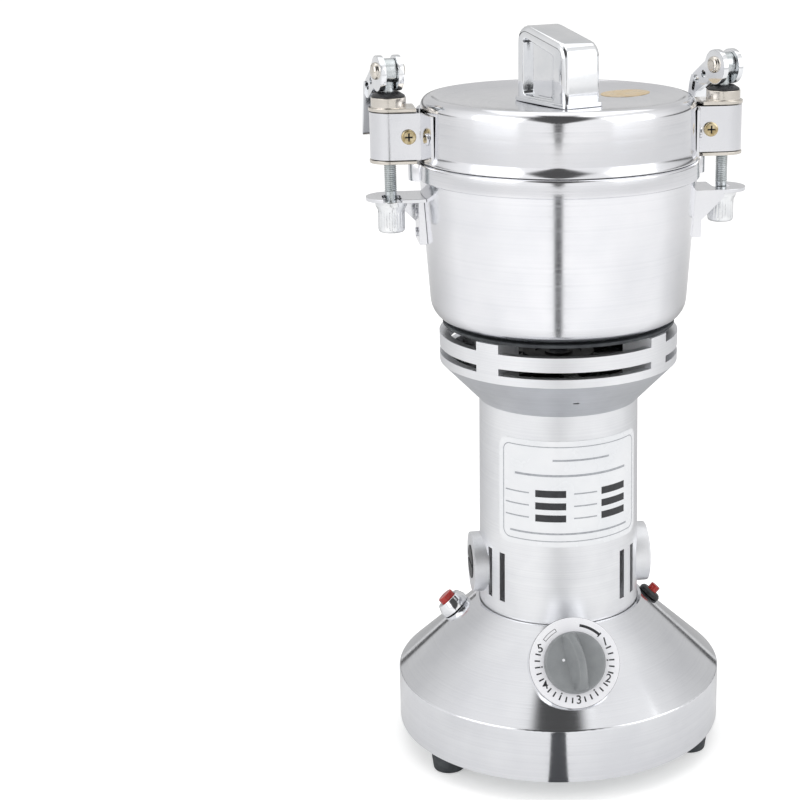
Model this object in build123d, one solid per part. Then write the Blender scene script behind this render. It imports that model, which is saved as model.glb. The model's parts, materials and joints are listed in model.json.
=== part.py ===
# Electric grain mill: a steel grinding bowl with a clamped lid on a cast motor column and base.
# Millimetres, +Z up. The origin is on the motor axis at the floor, and the front looks to -Y.
import os
from math import atan2, cos, degrees, radians, sin, sqrt, tan

from build123d import *

# Clearances
running_gap = 0.3          # between pieces that move past each other
seat_gap = 0.1             # between pieces that seat in each other
fit_gap = 0.04             # radial, between a shaft and its bore

# Rubber feet
foot_height = 12.0
foot_top_radius = 10.0
foot_bottom_radius = 8.5
foot_inset = 12.0              # from the skirt's edge to the feet's centres
foot_azimuths = (-60, 60, 180)
foot_screw_radius = 2.0
foot_screw_head_radius = 4.0
foot_screw_head_height = 2.6
foot_screw_head_z = 3.0
foot_screw_bite = 16.0     # thread length above the bottom plate

# Cast base: an upright skirt under a cone
base_radius = 90.0
skirt_height = 29.4
cone_rise = 40.1
cone_top_margin = 2.2          # from the column's foot to the cone's upper edge
base_wall = 3.0
base_edge_round = 1.6
base_plate_thickness = 1.5
foot_boss_radius = 5.5
seat_depth = 5.5           # the column stands this far down inside the cone's mouth
seat_thickness = 4.0
seat_inner_width = 7.4         # of the seat, inside the column's wall

# Cast motor column, flare and slotted ring
column_base_radius = 44.1
column_taper = 1.1
column_height = 122.4      # from the seat to the foot of the flare
column_wall = 3.6
flare_rise = 21.5
ring_inset = 3.6               # of the ring, from the bowl's lower radius
ring_wall = 4.4
lower_slot_offset = 4.5    # from the foot of the ring up to the lower slot
lower_slot_height = 3.7
ring_band_height = 7.6
upper_slot_height = 4.8
post_width = 14.0
post_screw_wall = 3.2      # metal on the inner side of the bowl screws
post_azimuths = (-135, -45, 45, 135)
housing_screw_inset = 3.9      # from the column's inner wall
housing_screw_radius = 2.0
housing_screw_head_radius = 3.6
housing_screw_head_height = 2.4
housing_screw_bite = 12.0
housing_boss_radius = 4.8
vent_width = 4.0
vent_height = 28.0
vent_azimuths = (-68, -54, 42, 56)

# Brush gear, on the two sides of the column
brush_height = 22.5        # above the top of the base
brush_boss_radius = 16.5
brush_boss_proud = 5.0     # of the boss face, from the column's foot radius
brush_seat_inner = 6.0     # length of the brush seat inside the column's wall
brush_tube_radius = 8.0
brush_cap_radius = 9.2
brush_cap_height = 2.2
brush_cap_recess = 1.6         # of the cap's seat in the boss
brush_width = 6.4
brush_depth = 10.0
brush_length = 14.0
brush_spring_radius = 2.6
brush_spring_wire = 0.5

# Motor
shaft_radius = 5.0
bearing_radius = 15.0
bearing_width = 9.0
bearing_lip = 2.0
bearing_wall = 4.2
lower_bearing_height = 8.0     # above the seat
web_height = 9.0
web_width = 8.0
commutator_radius = 14.0
commutator_length = 18.0
commutator_bars = 24
winding_height = 10.0
winding_inset = 2.9        # of the windings, from the armature's radius
core_length = 42.0
stator_radial = 16.9       # from the column's inner wall to the stator's bore
core_slots = 12
air_gap = 0.6
stator_height = 56.0           # above the seat
stator_ledge = 2.4
coil_corner_gap = 0.4      # from the coils to the ledge that the core stands on
coil_side = 5.6
coil_gap = 1.7             # from the stator's bore to the coils
coil_radial = 6.0
fan_gap = 3.4              # from the fan to the column's inner wall
fan_height = 14.0
fan_plate = 2.0
fan_blades = 10
fan_hub_radius = 9.0
shield_thickness = 3.5
shield_drop = 3.9              # below the foot of the ring
shield_screw_inset = 12.3      # from the ring's outside
shield_rim = 7.0               # of the shield, inside its screws
shield_screw_radius = 2.0
shield_screw_head_radius = 3.6
shield_screw_head_height = 2.4
shield_screw_bite = 7.0

# Grinding bowl
gasket_thickness = 1.5
gasket_inset = 5.4
bowl_height = 86.0
bowl_wall = 1.2
bowl_top_radius = 72.6
bowl_taper = 5.2
bowl_corner = 12.0
rim_proud = 1.6
rim_height = 9.7
rim_round = 1.0
bowl_ear_proud = 4.5
bowl_ear_width = 14.0
bowl_ear_height = 9.0
bowl_screw_margin = 0.6        # from the screw heads to the bowl's rounded corner
bowl_screw_radius = 2.0
bowl_screw_head_radius = 3.8
bowl_screw_head_height = 2.6
bowl_screw_bite = 14.0
seal_radius = 12.0
seal_flange_radius = 16.0
seal_flange_height = 2.4
blade_tip_gap = 9.4            # from the blades' tips to the bowl's lower radius
blade_width = 19.0
blade_thickness = 2.0
blade_floor_gap = 6.5          # from the bowl's floor up to the lower blade
blade_spacing = 5.0
blade_tip_length = 16.0
upper_tip_angle = 32.0
lower_tip_angle = 12.0
spacer_radius = 9.0
blade_nut_height = 9.0
blade_nut_flats = 15.0

# Lid, a shallow steel pan with a dished top
lid_wall = 1.2
lid_inset = 0.4                # of the lid's foot, from the bowl's upper radius
lid_taper = 0.7
lid_height = 31.9
lid_edge_round = 5.5
dish_depth = 5.2
dish_lip = 6.0
seal_ring_width = 4.0
seal_ring_height = 8.0

# Handle on the lid
handle_length = 45.0
handle_width = 23.0
handle_near_height = 31.5
handle_far_height = 40.5
handle_azimuth = 25.0
handle_round = 4.5
handle_foot_height = 2.4
handle_foot_margin = 0.8
panel_depth = 3.0
panel_near_margin = 11.0
panel_far_margin = 6.0
panel_top_margin = 8.0
panel_bottom_margin = 5.0
handle_screw_radius = 2.5
handle_screw_head_radius = 4.5
handle_screw_head_height = 3.0
handle_screw_bite = 12.0
handle_screw_spacing = 24.0

# Clamps, one on each side
clamp_azimuths = (-90, 90)
stud_reach = 13.8              # from the bowl's rim to the studs
stud_radius = 3.0
strap_thickness = 1.5
strap_radius = 10.0
strap_height = 23.8
strap_offset = 1.2             # from the lid's lower edge up to the strap
flange_reach = 25.0
flange_thickness = 1.3
guide_plate_thickness = 1.8
guide_plate_gap = 0.6
guide_plate_margin = 0.4
guide_bush_radius = 6.4
collar_radius = 9.0
collar_height = 5.0
washer_height = 2.6
washer_top_radius = 5.6
washer_bottom_radius = 8.5
clip_screw_radius = 1.9
clip_screw_head_radius = 3.8
clip_screw_head_height = 1.9
clip_screw_inset = 9.0         # from the stud towards the lid
rivet_head_radius = 3.0
rivet_head_height = 1.2
rivet_reach = 20.5
cam_gap = 0.35
cam_radius = 9.0
cam_offset = 1.2
cam_thickness = 2.9
cam_spacing = 6.4
eye_thickness = 5.8
eye_radius = 6.2
pin_radius = 2.4
pin_head_radius = 4.4
pin_head_height = 2.4
lever_angles = (12.0, 20.0)
lever_arm_length = 22.0
lever_arm_drop = 30.0
lever_neck_height = 9.0
lever_grip_length = 25.0
lever_grip_width = 14.0
lever_grip_thickness = 1.6
lever_grip_lean = 12.0
lever_hole_radius = 2.0
lever_hole_spots = (11.5, 18.5)
lever_rib_count = 4
lever_rib_pitch = 2.6
lever_rib_height = 0.6
catch_drop = 18.2              # from the bowl's top edge down to the top of the fork
catch_thickness = 2.0
catch_nose_radius = 13.0
catch_slot_width = 9.5
catch_leg_height = 25.0
catch_leg_width = 20.0
catch_leg_thickness = 2.4
catch_leg_depth = 8.0          # of the leg's blank, before the bowl's wall is cut from it
catch_leg_offset = 3.0
catch_rivet_drops = (10.0, 20.0)
catch_rivet_radius = 2.4
gusset_thickness = 2.0
gusset_reach = 12.0
gusset_height = 15.0
nut_height = 16.5
nut_radius = 7.0
nut_flange_radius = 8.25
nut_flange_height = 2.4
nut_round = 1.8
nut_floor = 2.5

# Controls on the cone
dial_azimuth = -3.0
dial_lift = 30.0               # the dial's axis above the horizon
dial_radius = 23.5
dial_thickness = 1.2
dial_pad_inset = 9.0           # from the skirt in to where the dial's boss meets the cone
dial_pad_margin = 0.6
dial_pad_rise = 0.4
dial_pad_depth = 4.0
dial_boss_length = 22.0
timer_width = 34.0
timer_up = 11.0
timer_down = 21.0
timer_depth = 24.0
timer_nut_radius = 8.0
timer_nut_height = 2.6
timer_bush_radius = 5.0
spindle_radius = 3.0
spindle_depth = 9.0
knob_radius = 16.5
knob_skirt_height = 4.2
knob_grip_width = 7.5
knob_grip_height = 11.0
switch_azimuth = -105.0
switch_share = 0.2677          # of the way down the cone
switch_bezel_radius = 8.6
switch_bezel_height = 7.0
switch_body_radius = 6.4
switch_body_depth = 22.0
switch_cap_radius = 4.6
switch_cap_rise = 3.0
switch_travel = 2.2
breaker_azimuth = 93.0
breaker_share = 0.1396
breaker_collar_radius = 6.4
breaker_collar_height = 3.2
breaker_body_radius = 4.6
breaker_body_depth = 21.0
reset_radius = 2.9
reset_rise = 3.6
reset_travel = 1.6

# Mains side
gland_azimuth = 150.0
gland_height = 15.0            # above the skirt's lower edge
gland_bore_radius = 3.6
gland_neck_radius = 6.0
gland_flange_radius = 8.5
gland_flange_thickness = 2.5
gland_inner_length = 6.0
block_size = (28.0, 17.0, 14.0)
block_place = (22.0, 44.0)
capacitor_size = (34.0, 13.0, 22.0)
capacitor_place = (-30.0, 34.0)

# Radii that follow from the sizes above
foot_circle_radius = base_radius - foot_inset
cone_top_radius = column_base_radius + cone_top_margin
column_top_radius = column_base_radius - column_taper
column_inner_radius = column_top_radius - column_wall
seat_inner_radius = column_inner_radius - seat_inner_width
housing_screw_circle = column_inner_radius - housing_screw_inset
brush_boss_reach = column_base_radius + brush_boss_proud
core_radius = column_inner_radius - stator_radial - air_gap
winding_radius = core_radius - winding_inset
coil_inner_offset = core_radius + air_gap + coil_gap
coil_reach = coil_inner_offset + coil_radial
coil_half_width = sqrt((column_inner_radius - stator_ledge - coil_corner_gap) ** 2 - coil_reach ** 2)
pole_half_width = coil_half_width - coil_side
fan_radius = column_inner_radius - fan_gap
bowl_floor_radius = bowl_top_radius - bowl_taper
rim_radius = bowl_top_radius + rim_proud
bowl_ear_reach = rim_radius + bowl_ear_proud
gasket_radius = bowl_floor_radius - gasket_inset
blade_reach = bowl_floor_radius - blade_tip_gap
ring_radius = bowl_floor_radius - ring_inset
shield_screw_circle = ring_radius - shield_screw_inset
lid_bottom_radius = bowl_top_radius - lid_inset
lid_shoulder_radius = lid_bottom_radius - lid_taper
stud_distance = rim_radius + stud_reach
dial_pad_edge = base_radius - dial_pad_inset
switch_circle = cone_top_radius + switch_share * (base_radius - cone_top_radius)
breaker_circle = cone_top_radius + breaker_share * (base_radius - cone_top_radius)

# Heights that follow from the sizes above
shoulder_z = foot_height + skirt_height
base_top_z = shoulder_z + cone_rise
seat_z = base_top_z - seat_depth
column_top_z = seat_z + column_height
ring_z = column_top_z + flare_rise
lower_slot_z = ring_z + lower_slot_offset
band_z = lower_slot_z + lower_slot_height
upper_slot_z = band_z + ring_band_height
post_top_z = upper_slot_z + upper_slot_height
bowl_z = post_top_z + gasket_thickness
bowl_floor_z = bowl_z + bowl_wall
bowl_top_z = bowl_z + bowl_height
lid_z = bowl_top_z + running_gap
lid_top_z = lid_z + lid_height
dish_z = lid_top_z - dish_depth
brush_z = base_top_z + brush_height
plate_top_z = foot_height + base_plate_thickness
core_z = seat_z + stator_height
core_top_z = core_z + core_length
lower_bearing_z = seat_z + lower_bearing_height
shield_z = ring_z - shield_drop
upper_bearing_z = shield_z - bearing_lip
strap_z = lid_z + strap_offset
strap_top_z = strap_z + strap_height
guide_plate_z = strap_top_z + guide_plate_gap
collar_z = guide_plate_z + guide_plate_thickness
washer_z = collar_z + collar_height
washer_top_z = washer_z + washer_height
pin_z = washer_top_z + cam_gap + cam_radius + cam_offset
catch_top_z = bowl_top_z - catch_drop
catch_z = catch_top_z - catch_thickness
nut_top_z = catch_z - running_gap
nut_z = nut_top_z - nut_height
cone_angle = atan2(cone_rise, base_radius - cone_top_radius)
bowl_screw_circle = bowl_floor_radius - bowl_corner - bowl_screw_head_radius - bowl_screw_margin
post_inner_radius = bowl_screw_circle - bowl_screw_radius - post_screw_wall


# Small helpers

def rod(radius, low, high):
    return Pos(0, 0, low) * Cylinder(radius, high - low, align=(Align.CENTER, Align.CENTER, Align.MIN))


def tube(outer, inner, low, high):
    return rod(outer, low, high) - rod(inner, low - 1, high + 1)


def block(x_low, x_high, y_low, y_high, z_low, z_high):
    size = (x_high - x_low, y_high - y_low, z_high - z_low)
    return Pos(x_low, y_low, z_low) * Box(*size, align=(Align.MIN, Align.MIN, Align.MIN))


def profile(points, rounds=None):
    """Closed outline; rounds gives the radius at some of its corners."""
    face = make_face(Polyline(*points, close=True))
    for corner, radius in (rounds or {}).items():
        nearest = face.vertices().sort_by_distance((*corner, 0))[0]
        face = fillet(nearest, radius)
    return face


def lathe(points, rounds=None):
    return revolve(Plane.XZ * profile(points, rounds), Axis.Z)


def turn(azimuth):
    """Places what was built along +X at an azimuth counted from the front, positive to the right."""
    return Rot(0, 0, azimuth - 90)


def along_x(shape):
    return Rot(0, 90, 0) * shape


def group(shapes):
    return Compound(children=list(shapes))


def cone_z(radius):
    return shoulder_z + (base_radius - radius) * tan(cone_angle)


def facing(azimuth, radius, z, lift):
    """Plane whose Z points outwards and up by a lift angle, with its X to the right and its Y up."""
    angle = radians(azimuth)
    out_x, out_y = sin(angle), -cos(angle)
    return Plane(origin=(radius * out_x, radius * out_y, z),
                 x_dir=(cos(angle), sin(angle), 0),
                 z_dir=(cos(lift) * out_x, cos(lift) * out_y, sin(lift)))


def on_cone(azimuth, radius):
    """Plane that touches the cone, with its Y up the slope."""
    return facing(azimuth, radius, cone_z(radius), radians(90) - cone_angle)


def column_radius(z):
    share = (z - seat_z) / column_height
    return column_base_radius + share * (column_top_radius - column_base_radius)


def bowl_radius(z):
    """Outside of the bowl's wall above its rounded corner."""
    share = (z - bowl_z) / (bowl_height - rim_height)
    return bowl_floor_radius + share * (bowl_top_radius - bowl_floor_radius)


dial_pad_radius = dial_radius + dial_pad_margin
dial_plane = facing(dial_azimuth, dial_pad_edge - dial_pad_radius * sin(radians(dial_lift)),
                    cone_z(dial_pad_edge) + dial_pad_radius * cos(radians(dial_lift)), radians(dial_lift))
switch_plane = on_cone(switch_azimuth, switch_circle)
breaker_plane = on_cone(breaker_azimuth, breaker_circle)
gland_pose = turn(gland_azimuth) * Pos(0, 0, foot_height + gland_height)


# Base

def timer_pocket():
    """Space in the dial's boss for the timer's case."""
    half = timer_width / 2 + running_gap
    return block(-half, half, -timer_down - running_gap, timer_up + running_gap,
                 -dial_pad_depth - timer_depth - running_gap, -dial_pad_depth)


def base_shell():
    inner_skirt = base_radius - base_wall
    wall_rise = base_wall / cos(cone_angle)
    seat_low = seat_z - seat_thickness
    seat_outer = base_radius - (seat_low + wall_rise - shoulder_z) / tan(cone_angle)
    mouth = column_base_radius + 2 * running_gap
    outer = lathe([(0, foot_height), (base_radius, foot_height), (base_radius, shoulder_z),
                   (cone_top_radius, base_top_z), (0, base_top_z)],
                  {(base_radius, shoulder_z): base_edge_round})
    cavity = lathe([(0, foot_height), (inner_skirt, foot_height),
                    (inner_skirt, cone_z(inner_skirt) - wall_rise), (seat_outer, seat_low), (0, seat_low)])
    bosses = [turn(a) * Pos(foot_circle_radius, 0, 0) * rod(foot_boss_radius, plate_top_z, base_top_z)
              for a in foot_azimuths]
    pad = dial_plane * rod(dial_pad_radius, -dial_pad_depth, dial_pad_rise)
    boss = dial_plane * rod(dial_pad_radius, -dial_boss_length, dial_pad_rise)
    cavity = cavity - bosses - pad
    shell = outer + boss - cavity - dial_plane * timer_pocket()
    shell = shell - rod(mouth, seat_z, column_top_z) - rod(seat_inner_radius, seat_low - 1, seat_z + 1)
    for a in foot_azimuths:
        bore = rod(foot_screw_radius - fit_gap, plate_top_z - 1, plate_top_z + foot_screw_bite + 1)
        shell -= turn(a) * Pos(foot_circle_radius, 0, 0) * bore
    for a in post_azimuths:
        shell -= turn(a) * Pos(housing_screw_circle, 0, 0) * rod(housing_screw_radius + seat_gap,
                                                                 seat_low - 1, seat_z + 1)
    shell -= dial_plane * rod(timer_bush_radius + seat_gap, -dial_pad_depth - 1, dial_pad_rise + 1)
    shell -= switch_plane * rod(switch_body_radius + seat_gap, -switch_body_depth, base_wall)
    shell -= breaker_plane * rod(breaker_body_radius + seat_gap, -breaker_body_depth, base_wall)
    shell -= gland_pose * along_x(rod(gland_neck_radius + seat_gap, base_radius - 3 * base_wall,
                                      base_radius + 1))
    return shell


def base_plate():
    plate = rod(base_radius - base_wall - seat_gap, foot_height, plate_top_z)
    for a in foot_azimuths:
        plate -= turn(a) * Pos(foot_circle_radius, 0, 0) * rod(foot_screw_radius + seat_gap, 0, base_top_z)
    slot_length, slot_width, slot_pitch = 34.0, 4.0, 9.0
    for row in range(-2, 3):
        slot = extrude(SlotOverall(slot_length, slot_width), base_plate_thickness + 2)
        plate -= Pos(0, row * slot_pitch - slot_length / 2, foot_height - 1) * slot
    return plate


def rubber_feet():
    foot = lathe([(0, 0), (foot_bottom_radius, 0), (foot_top_radius, foot_height), (0, foot_height)],
                 {(foot_bottom_radius, 0): 1.2})
    foot -= rod(foot_screw_head_radius + seat_gap, -1, foot_screw_head_z + foot_screw_head_height)
    foot -= rod(foot_screw_radius + seat_gap, -1, foot_height + 1)
    return group(turn(a) * Pos(foot_circle_radius, 0, 0) * foot for a in foot_azimuths)


def foot_screws():
    head_top = foot_screw_head_z + foot_screw_head_height
    screw = rod(foot_screw_head_radius, foot_screw_head_z, head_top)
    screw += rod(foot_screw_radius - fit_gap, head_top - 0.5, plate_top_z + foot_screw_bite)
    screw -= block(-3, 3, -0.5, 0.5, foot_screw_head_z - 1, foot_screw_head_z + 1)
    return group(turn(a) * Pos(foot_circle_radius, 0, 0) * screw for a in foot_azimuths)


# Motor column

def housing_cavity():
    """Space inside the column, the flare and the slotted ring, without the bosses that stand in it."""
    flare_wall = column_top_radius - column_inner_radius
    flare_slope = (ring_radius - column_top_radius) / flare_rise
    shelf_radius = ring_radius - (ring_z - shield_z) * flare_slope - flare_wall
    chamber_radius = ring_radius - ring_wall
    return lathe([(0, seat_z - 1), (column_inner_radius, seat_z - 1), (column_inner_radius, column_top_z),
                  (shelf_radius, shield_z), (chamber_radius, shield_z), (chamber_radius, post_top_z + 1),
                  (0, post_top_z + 1)])


def bearing_cup(low):
    """Ring that holds a ball bearing from outside, with a lip under it."""
    cup = rod(bearing_radius + bearing_wall, low - bearing_lip, low + bearing_width)
    cup -= rod(bearing_radius + fit_gap, low, low + bearing_width + 1)
    return cup - rod(bearing_radius - bearing_lip, low - bearing_lip - 1, low + 1)


def motor_housing():
    outer = lathe([(0, seat_z), (column_base_radius, seat_z), (column_top_radius, column_top_z),
                   (ring_radius, ring_z), (ring_radius, post_top_z), (0, post_top_z)])
    for a in clamp_azimuths:
        outer += turn(a) * Pos(0, 0, brush_z) * along_x(
            rod(brush_boss_radius, column_inner_radius, brush_boss_reach))
    bosses = []
    for a in post_azimuths:
        post = block(post_inner_radius, ring_radius, -post_width / 2, post_width / 2,
                     shield_z, post_top_z)
        boss = Pos(housing_screw_circle, 0, 0) * rod(housing_boss_radius, seat_z,
                                                    lower_bearing_z + web_height)
        spoke = block(bearing_radius + 1, column_inner_radius, -web_width / 2, web_width / 2,
                      lower_bearing_z, lower_bearing_z + web_height)
        bosses += [turn(a) * post, turn(a) * boss, turn(a) * spoke]
    for a in range(0, 360, 90):
        bosses.append(turn(a) * Pos(shield_screw_circle, 0, 0) * rod(
            shield_screw_radius + 2.6, shield_z - shield_screw_bite - 2, shield_z))
    for a in clamp_azimuths:
        tube_seat = along_x(rod(brush_tube_radius + 2.5, column_inner_radius - brush_seat_inner + 2,
                                 column_base_radius))
        bosses.append(turn(a) * Pos(0, 0, brush_z) * tube_seat)
    bosses.append(tube(column_inner_radius + 1, column_inner_radius - stator_ledge, core_z - 4, core_z))
    housing = outer - (housing_cavity() - bosses)
    housing += bearing_cup(lower_bearing_z)
    housing -= rod(bearing_radius + fit_gap, lower_bearing_z, lower_bearing_z + bearing_width + 1)

    slots = tube(ring_radius + 2, ring_radius - ring_wall - 1, lower_slot_z, band_z)
    slots += tube(ring_radius + 2, ring_radius - ring_wall - 1, upper_slot_z, post_top_z + 1)
    for a in post_azimuths:
        slots -= turn(a) * block(post_inner_radius, ring_radius + 3, -post_width / 2, post_width / 2,
                                 ring_z, post_top_z + 2)
    housing -= slots
    for a in vent_azimuths:
        vent = block(column_inner_radius - 1, column_base_radius + 2, -vent_width / 2, vent_width / 2,
                     brush_z - vent_height / 2, brush_z + vent_height / 2)
        housing -= turn(a) * vent
    for a in post_azimuths:
        place = turn(a)
        housing -= place * Pos(housing_screw_circle, 0, 0) * rod(
            housing_screw_radius - fit_gap, seat_z - 1, seat_z + housing_screw_bite + 1)
        housing -= place * Pos(bowl_screw_circle, 0, 0) * rod(
            bowl_screw_radius - fit_gap, post_top_z - bowl_screw_bite, post_top_z + 1)
    for a in range(0, 360, 90):
        housing -= turn(a) * Pos(shield_screw_circle, 0, 0) * rod(
            shield_screw_radius - fit_gap, shield_z - shield_screw_bite - 1, shield_z + 1)
    for a in clamp_azimuths:
        housing -= turn(a) * Pos(0, 0, brush_z) * along_x(
            rod(brush_tube_radius + fit_gap, column_inner_radius - brush_seat_inner, brush_boss_reach + 1))
        housing -= turn(a) * Pos(0, 0, brush_z) * along_x(
            rod(brush_cap_radius + seat_gap, brush_face, brush_boss_reach + 1))
    return housing


def housing_screws():
    seat_low = seat_z - seat_thickness
    screw = rod(housing_screw_head_radius, seat_low - housing_screw_head_height, seat_low)
    screw += rod(housing_screw_radius - fit_gap, seat_low - 0.5, seat_z + housing_screw_bite)
    return group(turn(a) * Pos(housing_screw_circle, 0, 0) * screw for a in post_azimuths)


# Brush gear: a tube, a carbon, its spring and a screw cap on each side

brush_inner = commutator_radius + running_gap
brush_tube_inner = commutator_radius + 4.0
spring_start = brush_inner + brush_length
brush_face = brush_boss_reach - brush_cap_recess


def on_sides(shape):
    return group(turn(a) * Pos(0, 0, brush_z) * shape for a in clamp_azimuths)


def brush_holders():
    holder = along_x(rod(brush_tube_radius, brush_tube_inner, brush_face - 0.5))
    half_width = brush_width / 2 + seat_gap
    half_depth = brush_depth / 2 + seat_gap
    holder -= block(brush_tube_inner - 1, brush_face, -half_width, half_width, -half_depth, half_depth)
    return on_sides(holder)


def carbon_brushes():
    half_width = brush_width / 2
    half_depth = brush_depth / 2
    carbon = block(commutator_radius / 2, spring_start, -half_width, half_width, -half_depth, half_depth)
    return on_sides(carbon - rod(brush_inner, -brush_depth, brush_depth))


def brush_springs():
    end_gap = seat_gap + brush_spring_wire
    length = brush_face - 0.5 - spring_start - 2 * end_gap
    coil = Helix(pitch=length / 5, height=length, radius=brush_spring_radius)
    wire = Plane(origin=coil @ 0, z_dir=coil % 0) * Circle(brush_spring_wire)
    spring = Rot(0, 90, 0) * sweep(wire, path=coil, is_frenet=True)
    return on_sides(Pos(spring_start + end_gap, 0, 0) * spring)


def brush_caps():
    cap = along_x(rod(brush_cap_radius, brush_face, brush_face + brush_cap_height))
    cap += along_x(rod(brush_tube_radius - 1, brush_face - 0.5, brush_face + 0.5))
    cap -= block(brush_face + brush_cap_height - 1, brush_face + brush_cap_height + 1,
                 -brush_cap_radius, brush_cap_radius, -0.8, 0.8)
    return on_sides(cap)


# Stator and the upper bearing shield

def stator_windows(margin):
    """Space of the coil sides that stand in the core, widened by a margin."""
    inner = pole_half_width - margin
    outer = coil_half_width + margin
    near = coil_inner_offset - margin
    far = coil_reach + margin
    low, high = core_z - winding_height, core_top_z + winding_height
    boxes = [block(x_low, x_high, near, far, low, high)
             for x_low, x_high in ((inner, outer), (-outer, -inner))]
    return boxes + [Rot(0, 0, 180) * box for box in boxes]


def stator_core():
    bore = core_radius + air_gap
    core = tube(column_inner_radius - seat_gap, bore, core_z, core_top_z)
    return core - stator_windows(seat_gap)


def field_coils():
    outer = coil_half_width
    coil = block(-outer, outer, coil_inner_offset, coil_reach, core_z - winding_height,
                 core_top_z + winding_height)
    coil -= block(-pole_half_width, pole_half_width, coil_inner_offset - 1, coil_reach + 1,
                  core_z - seat_gap, core_top_z + seat_gap)
    return group([coil, Rot(0, 0, 180) * coil])


def end_shield():
    plate = rod(ring_radius - ring_wall - seat_gap, shield_z, shield_z + shield_thickness)
    windows = tube(shield_screw_circle - shield_rim, bearing_radius + bearing_wall + 2,
                   shield_z - 1, shield_z + shield_thickness + 1)
    for a in range(0, 180, 45):
        windows -= Rot(0, 0, a) * block(-ring_radius, ring_radius, -web_width / 2, web_width / 2,
                                        shield_z - 2, shield_z + shield_thickness + 2)
    plate -= windows
    for a in post_azimuths:
        plate -= turn(a) * block(post_inner_radius - seat_gap, ring_radius,
                                 -post_width / 2 - seat_gap, post_width / 2 + seat_gap,
                                 shield_z - 1, shield_z + shield_thickness + 1)
    for a in range(0, 360, 90):
        plate -= turn(a) * Pos(shield_screw_circle, 0, 0) * rod(
            shield_screw_radius + seat_gap, shield_z - 1, shield_z + shield_thickness + 1)
    shield = plate + bearing_cup(upper_bearing_z)
    shield -= rod(bearing_radius + fit_gap, upper_bearing_z, upper_bearing_z + bearing_width + 1)
    return shield - rod(bearing_radius - bearing_lip, shield_z - 6, upper_bearing_z + 1)


def shield_screws():
    head_z = shield_z + shield_thickness
    screw = rod(shield_screw_head_radius, head_z, head_z + shield_screw_head_height)
    screw += rod(shield_screw_radius - fit_gap, shield_z - shield_screw_bite, head_z + 0.5)
    return group(turn(a) * Pos(shield_screw_circle, 0, 0) * screw for a in range(0, 360, 90))


def ball_bearing(low):
    race = tube(bearing_radius, shaft_radius + fit_gap, low, low + bearing_width)
    middle = (bearing_radius + shaft_radius) / 2
    shield_recess = tube(middle + 2.6, middle - 2.6, low - 1, low + 0.8)
    return race - shield_recess - Pos(0, 0, bearing_width + 0.2) * shield_recess


def bearings():
    return group([ball_bearing(lower_bearing_z), ball_bearing(upper_bearing_z)])


# Rotor

lower_blade_z = bowl_floor_z + blade_floor_gap
upper_blade_z = lower_blade_z + blade_thickness + blade_spacing
blade_nut_z = upper_blade_z + blade_thickness
blade_bore = shaft_radius - 1.0


def motor_shaft():
    shaft = rod(shaft_radius - fit_gap, lower_bearing_z - 3, lower_blade_z)
    return shaft + rod(blade_bore - fit_gap, lower_blade_z - 0.5, blade_nut_z + blade_nut_height - 2)


def armature_core():
    core = tube(core_radius, shaft_radius, core_z, core_top_z)
    for step in range(core_slots):
        slot = block(core_radius - 6, core_radius + 1, -1.2, 1.2, core_z - 1, core_top_z + 1)
        core -= Rot(0, 0, step * 360 / core_slots) * slot
    return core


def armature_windings():
    rounding = winding_height / 3
    top = tube(winding_radius, shaft_radius + 1.5, core_top_z, core_top_z + winding_height)
    top = fillet(top.edges().filter_by(GeomType.CIRCLE).group_by(Axis.Z)[-1].sort_by(SortBy.LENGTH)[-1],
                 rounding)
    low = tube(winding_radius, shaft_radius + 1.5, core_z - winding_height, core_z)
    low = fillet(low.edges().filter_by(GeomType.CIRCLE).group_by(Axis.Z)[0].sort_by(SortBy.LENGTH)[-1],
                 rounding)
    return group([top, low])


def commutator():
    low = brush_z - commutator_length / 2
    drum = tube(commutator_radius, shaft_radius, low, low + commutator_length)
    drum += tube(commutator_radius + 1.6, shaft_radius + 1, low + commutator_length,
                 low + commutator_length + 2)
    for step in range(commutator_bars):
        groove = block(commutator_radius - 0.8, commutator_radius + 3, -0.3, 0.3, low - 1,
                       low + commutator_length + 3)
        drum -= Rot(0, 0, step * 360 / commutator_bars) * groove
    return drum


def cooling_fan():
    low = core_top_z + winding_height + 2
    fan = rod(fan_radius, low, low + fan_plate) + rod(fan_hub_radius, low, low + fan_height)
    for step in range(fan_blades):
        vane = block(fan_hub_radius - 1, fan_radius - 1, -0.8, 0.8, low, low + fan_height - 2)
        fan += Rot(0, 0, step * 360 / fan_blades) * Pos(0, 3, 0) * vane
    return fan - rod(shaft_radius, low - 1, low + fan_height + 1)


def blade(low, tip_angle):
    """Flat bar with sharpened, upturned tips."""
    flat = blade_reach - blade_tip_length
    bar = block(-flat, flat, -blade_width / 2, blade_width / 2, low, low + blade_thickness)
    length = blade_tip_length / cos(radians(tip_angle))
    outline = profile([(0, 0), (length, 0), (length * 0.82, blade_width * 0.45), (0, blade_width)])
    tip = extrude(Pos(-0.6, -blade_width / 2) * outline, blade_thickness)
    for side in (0, 180):
        bar += Rot(0, 0, side) * Pos(flat, 0, low) * Rot(0, -tip_angle, 0) * tip
    bar += rod(blade_width / 2 + 1, low, low + blade_thickness)
    return bar - rod(blade_bore, low - 1, low + blade_thickness + 1)


def lower_blade():
    return blade(lower_blade_z, lower_tip_angle)


def upper_blade():
    return Rot(0, 0, 70) * blade(upper_blade_z, upper_tip_angle)


def blade_spacer():
    return tube(spacer_radius, blade_bore, lower_blade_z + blade_thickness, upper_blade_z)


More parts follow.
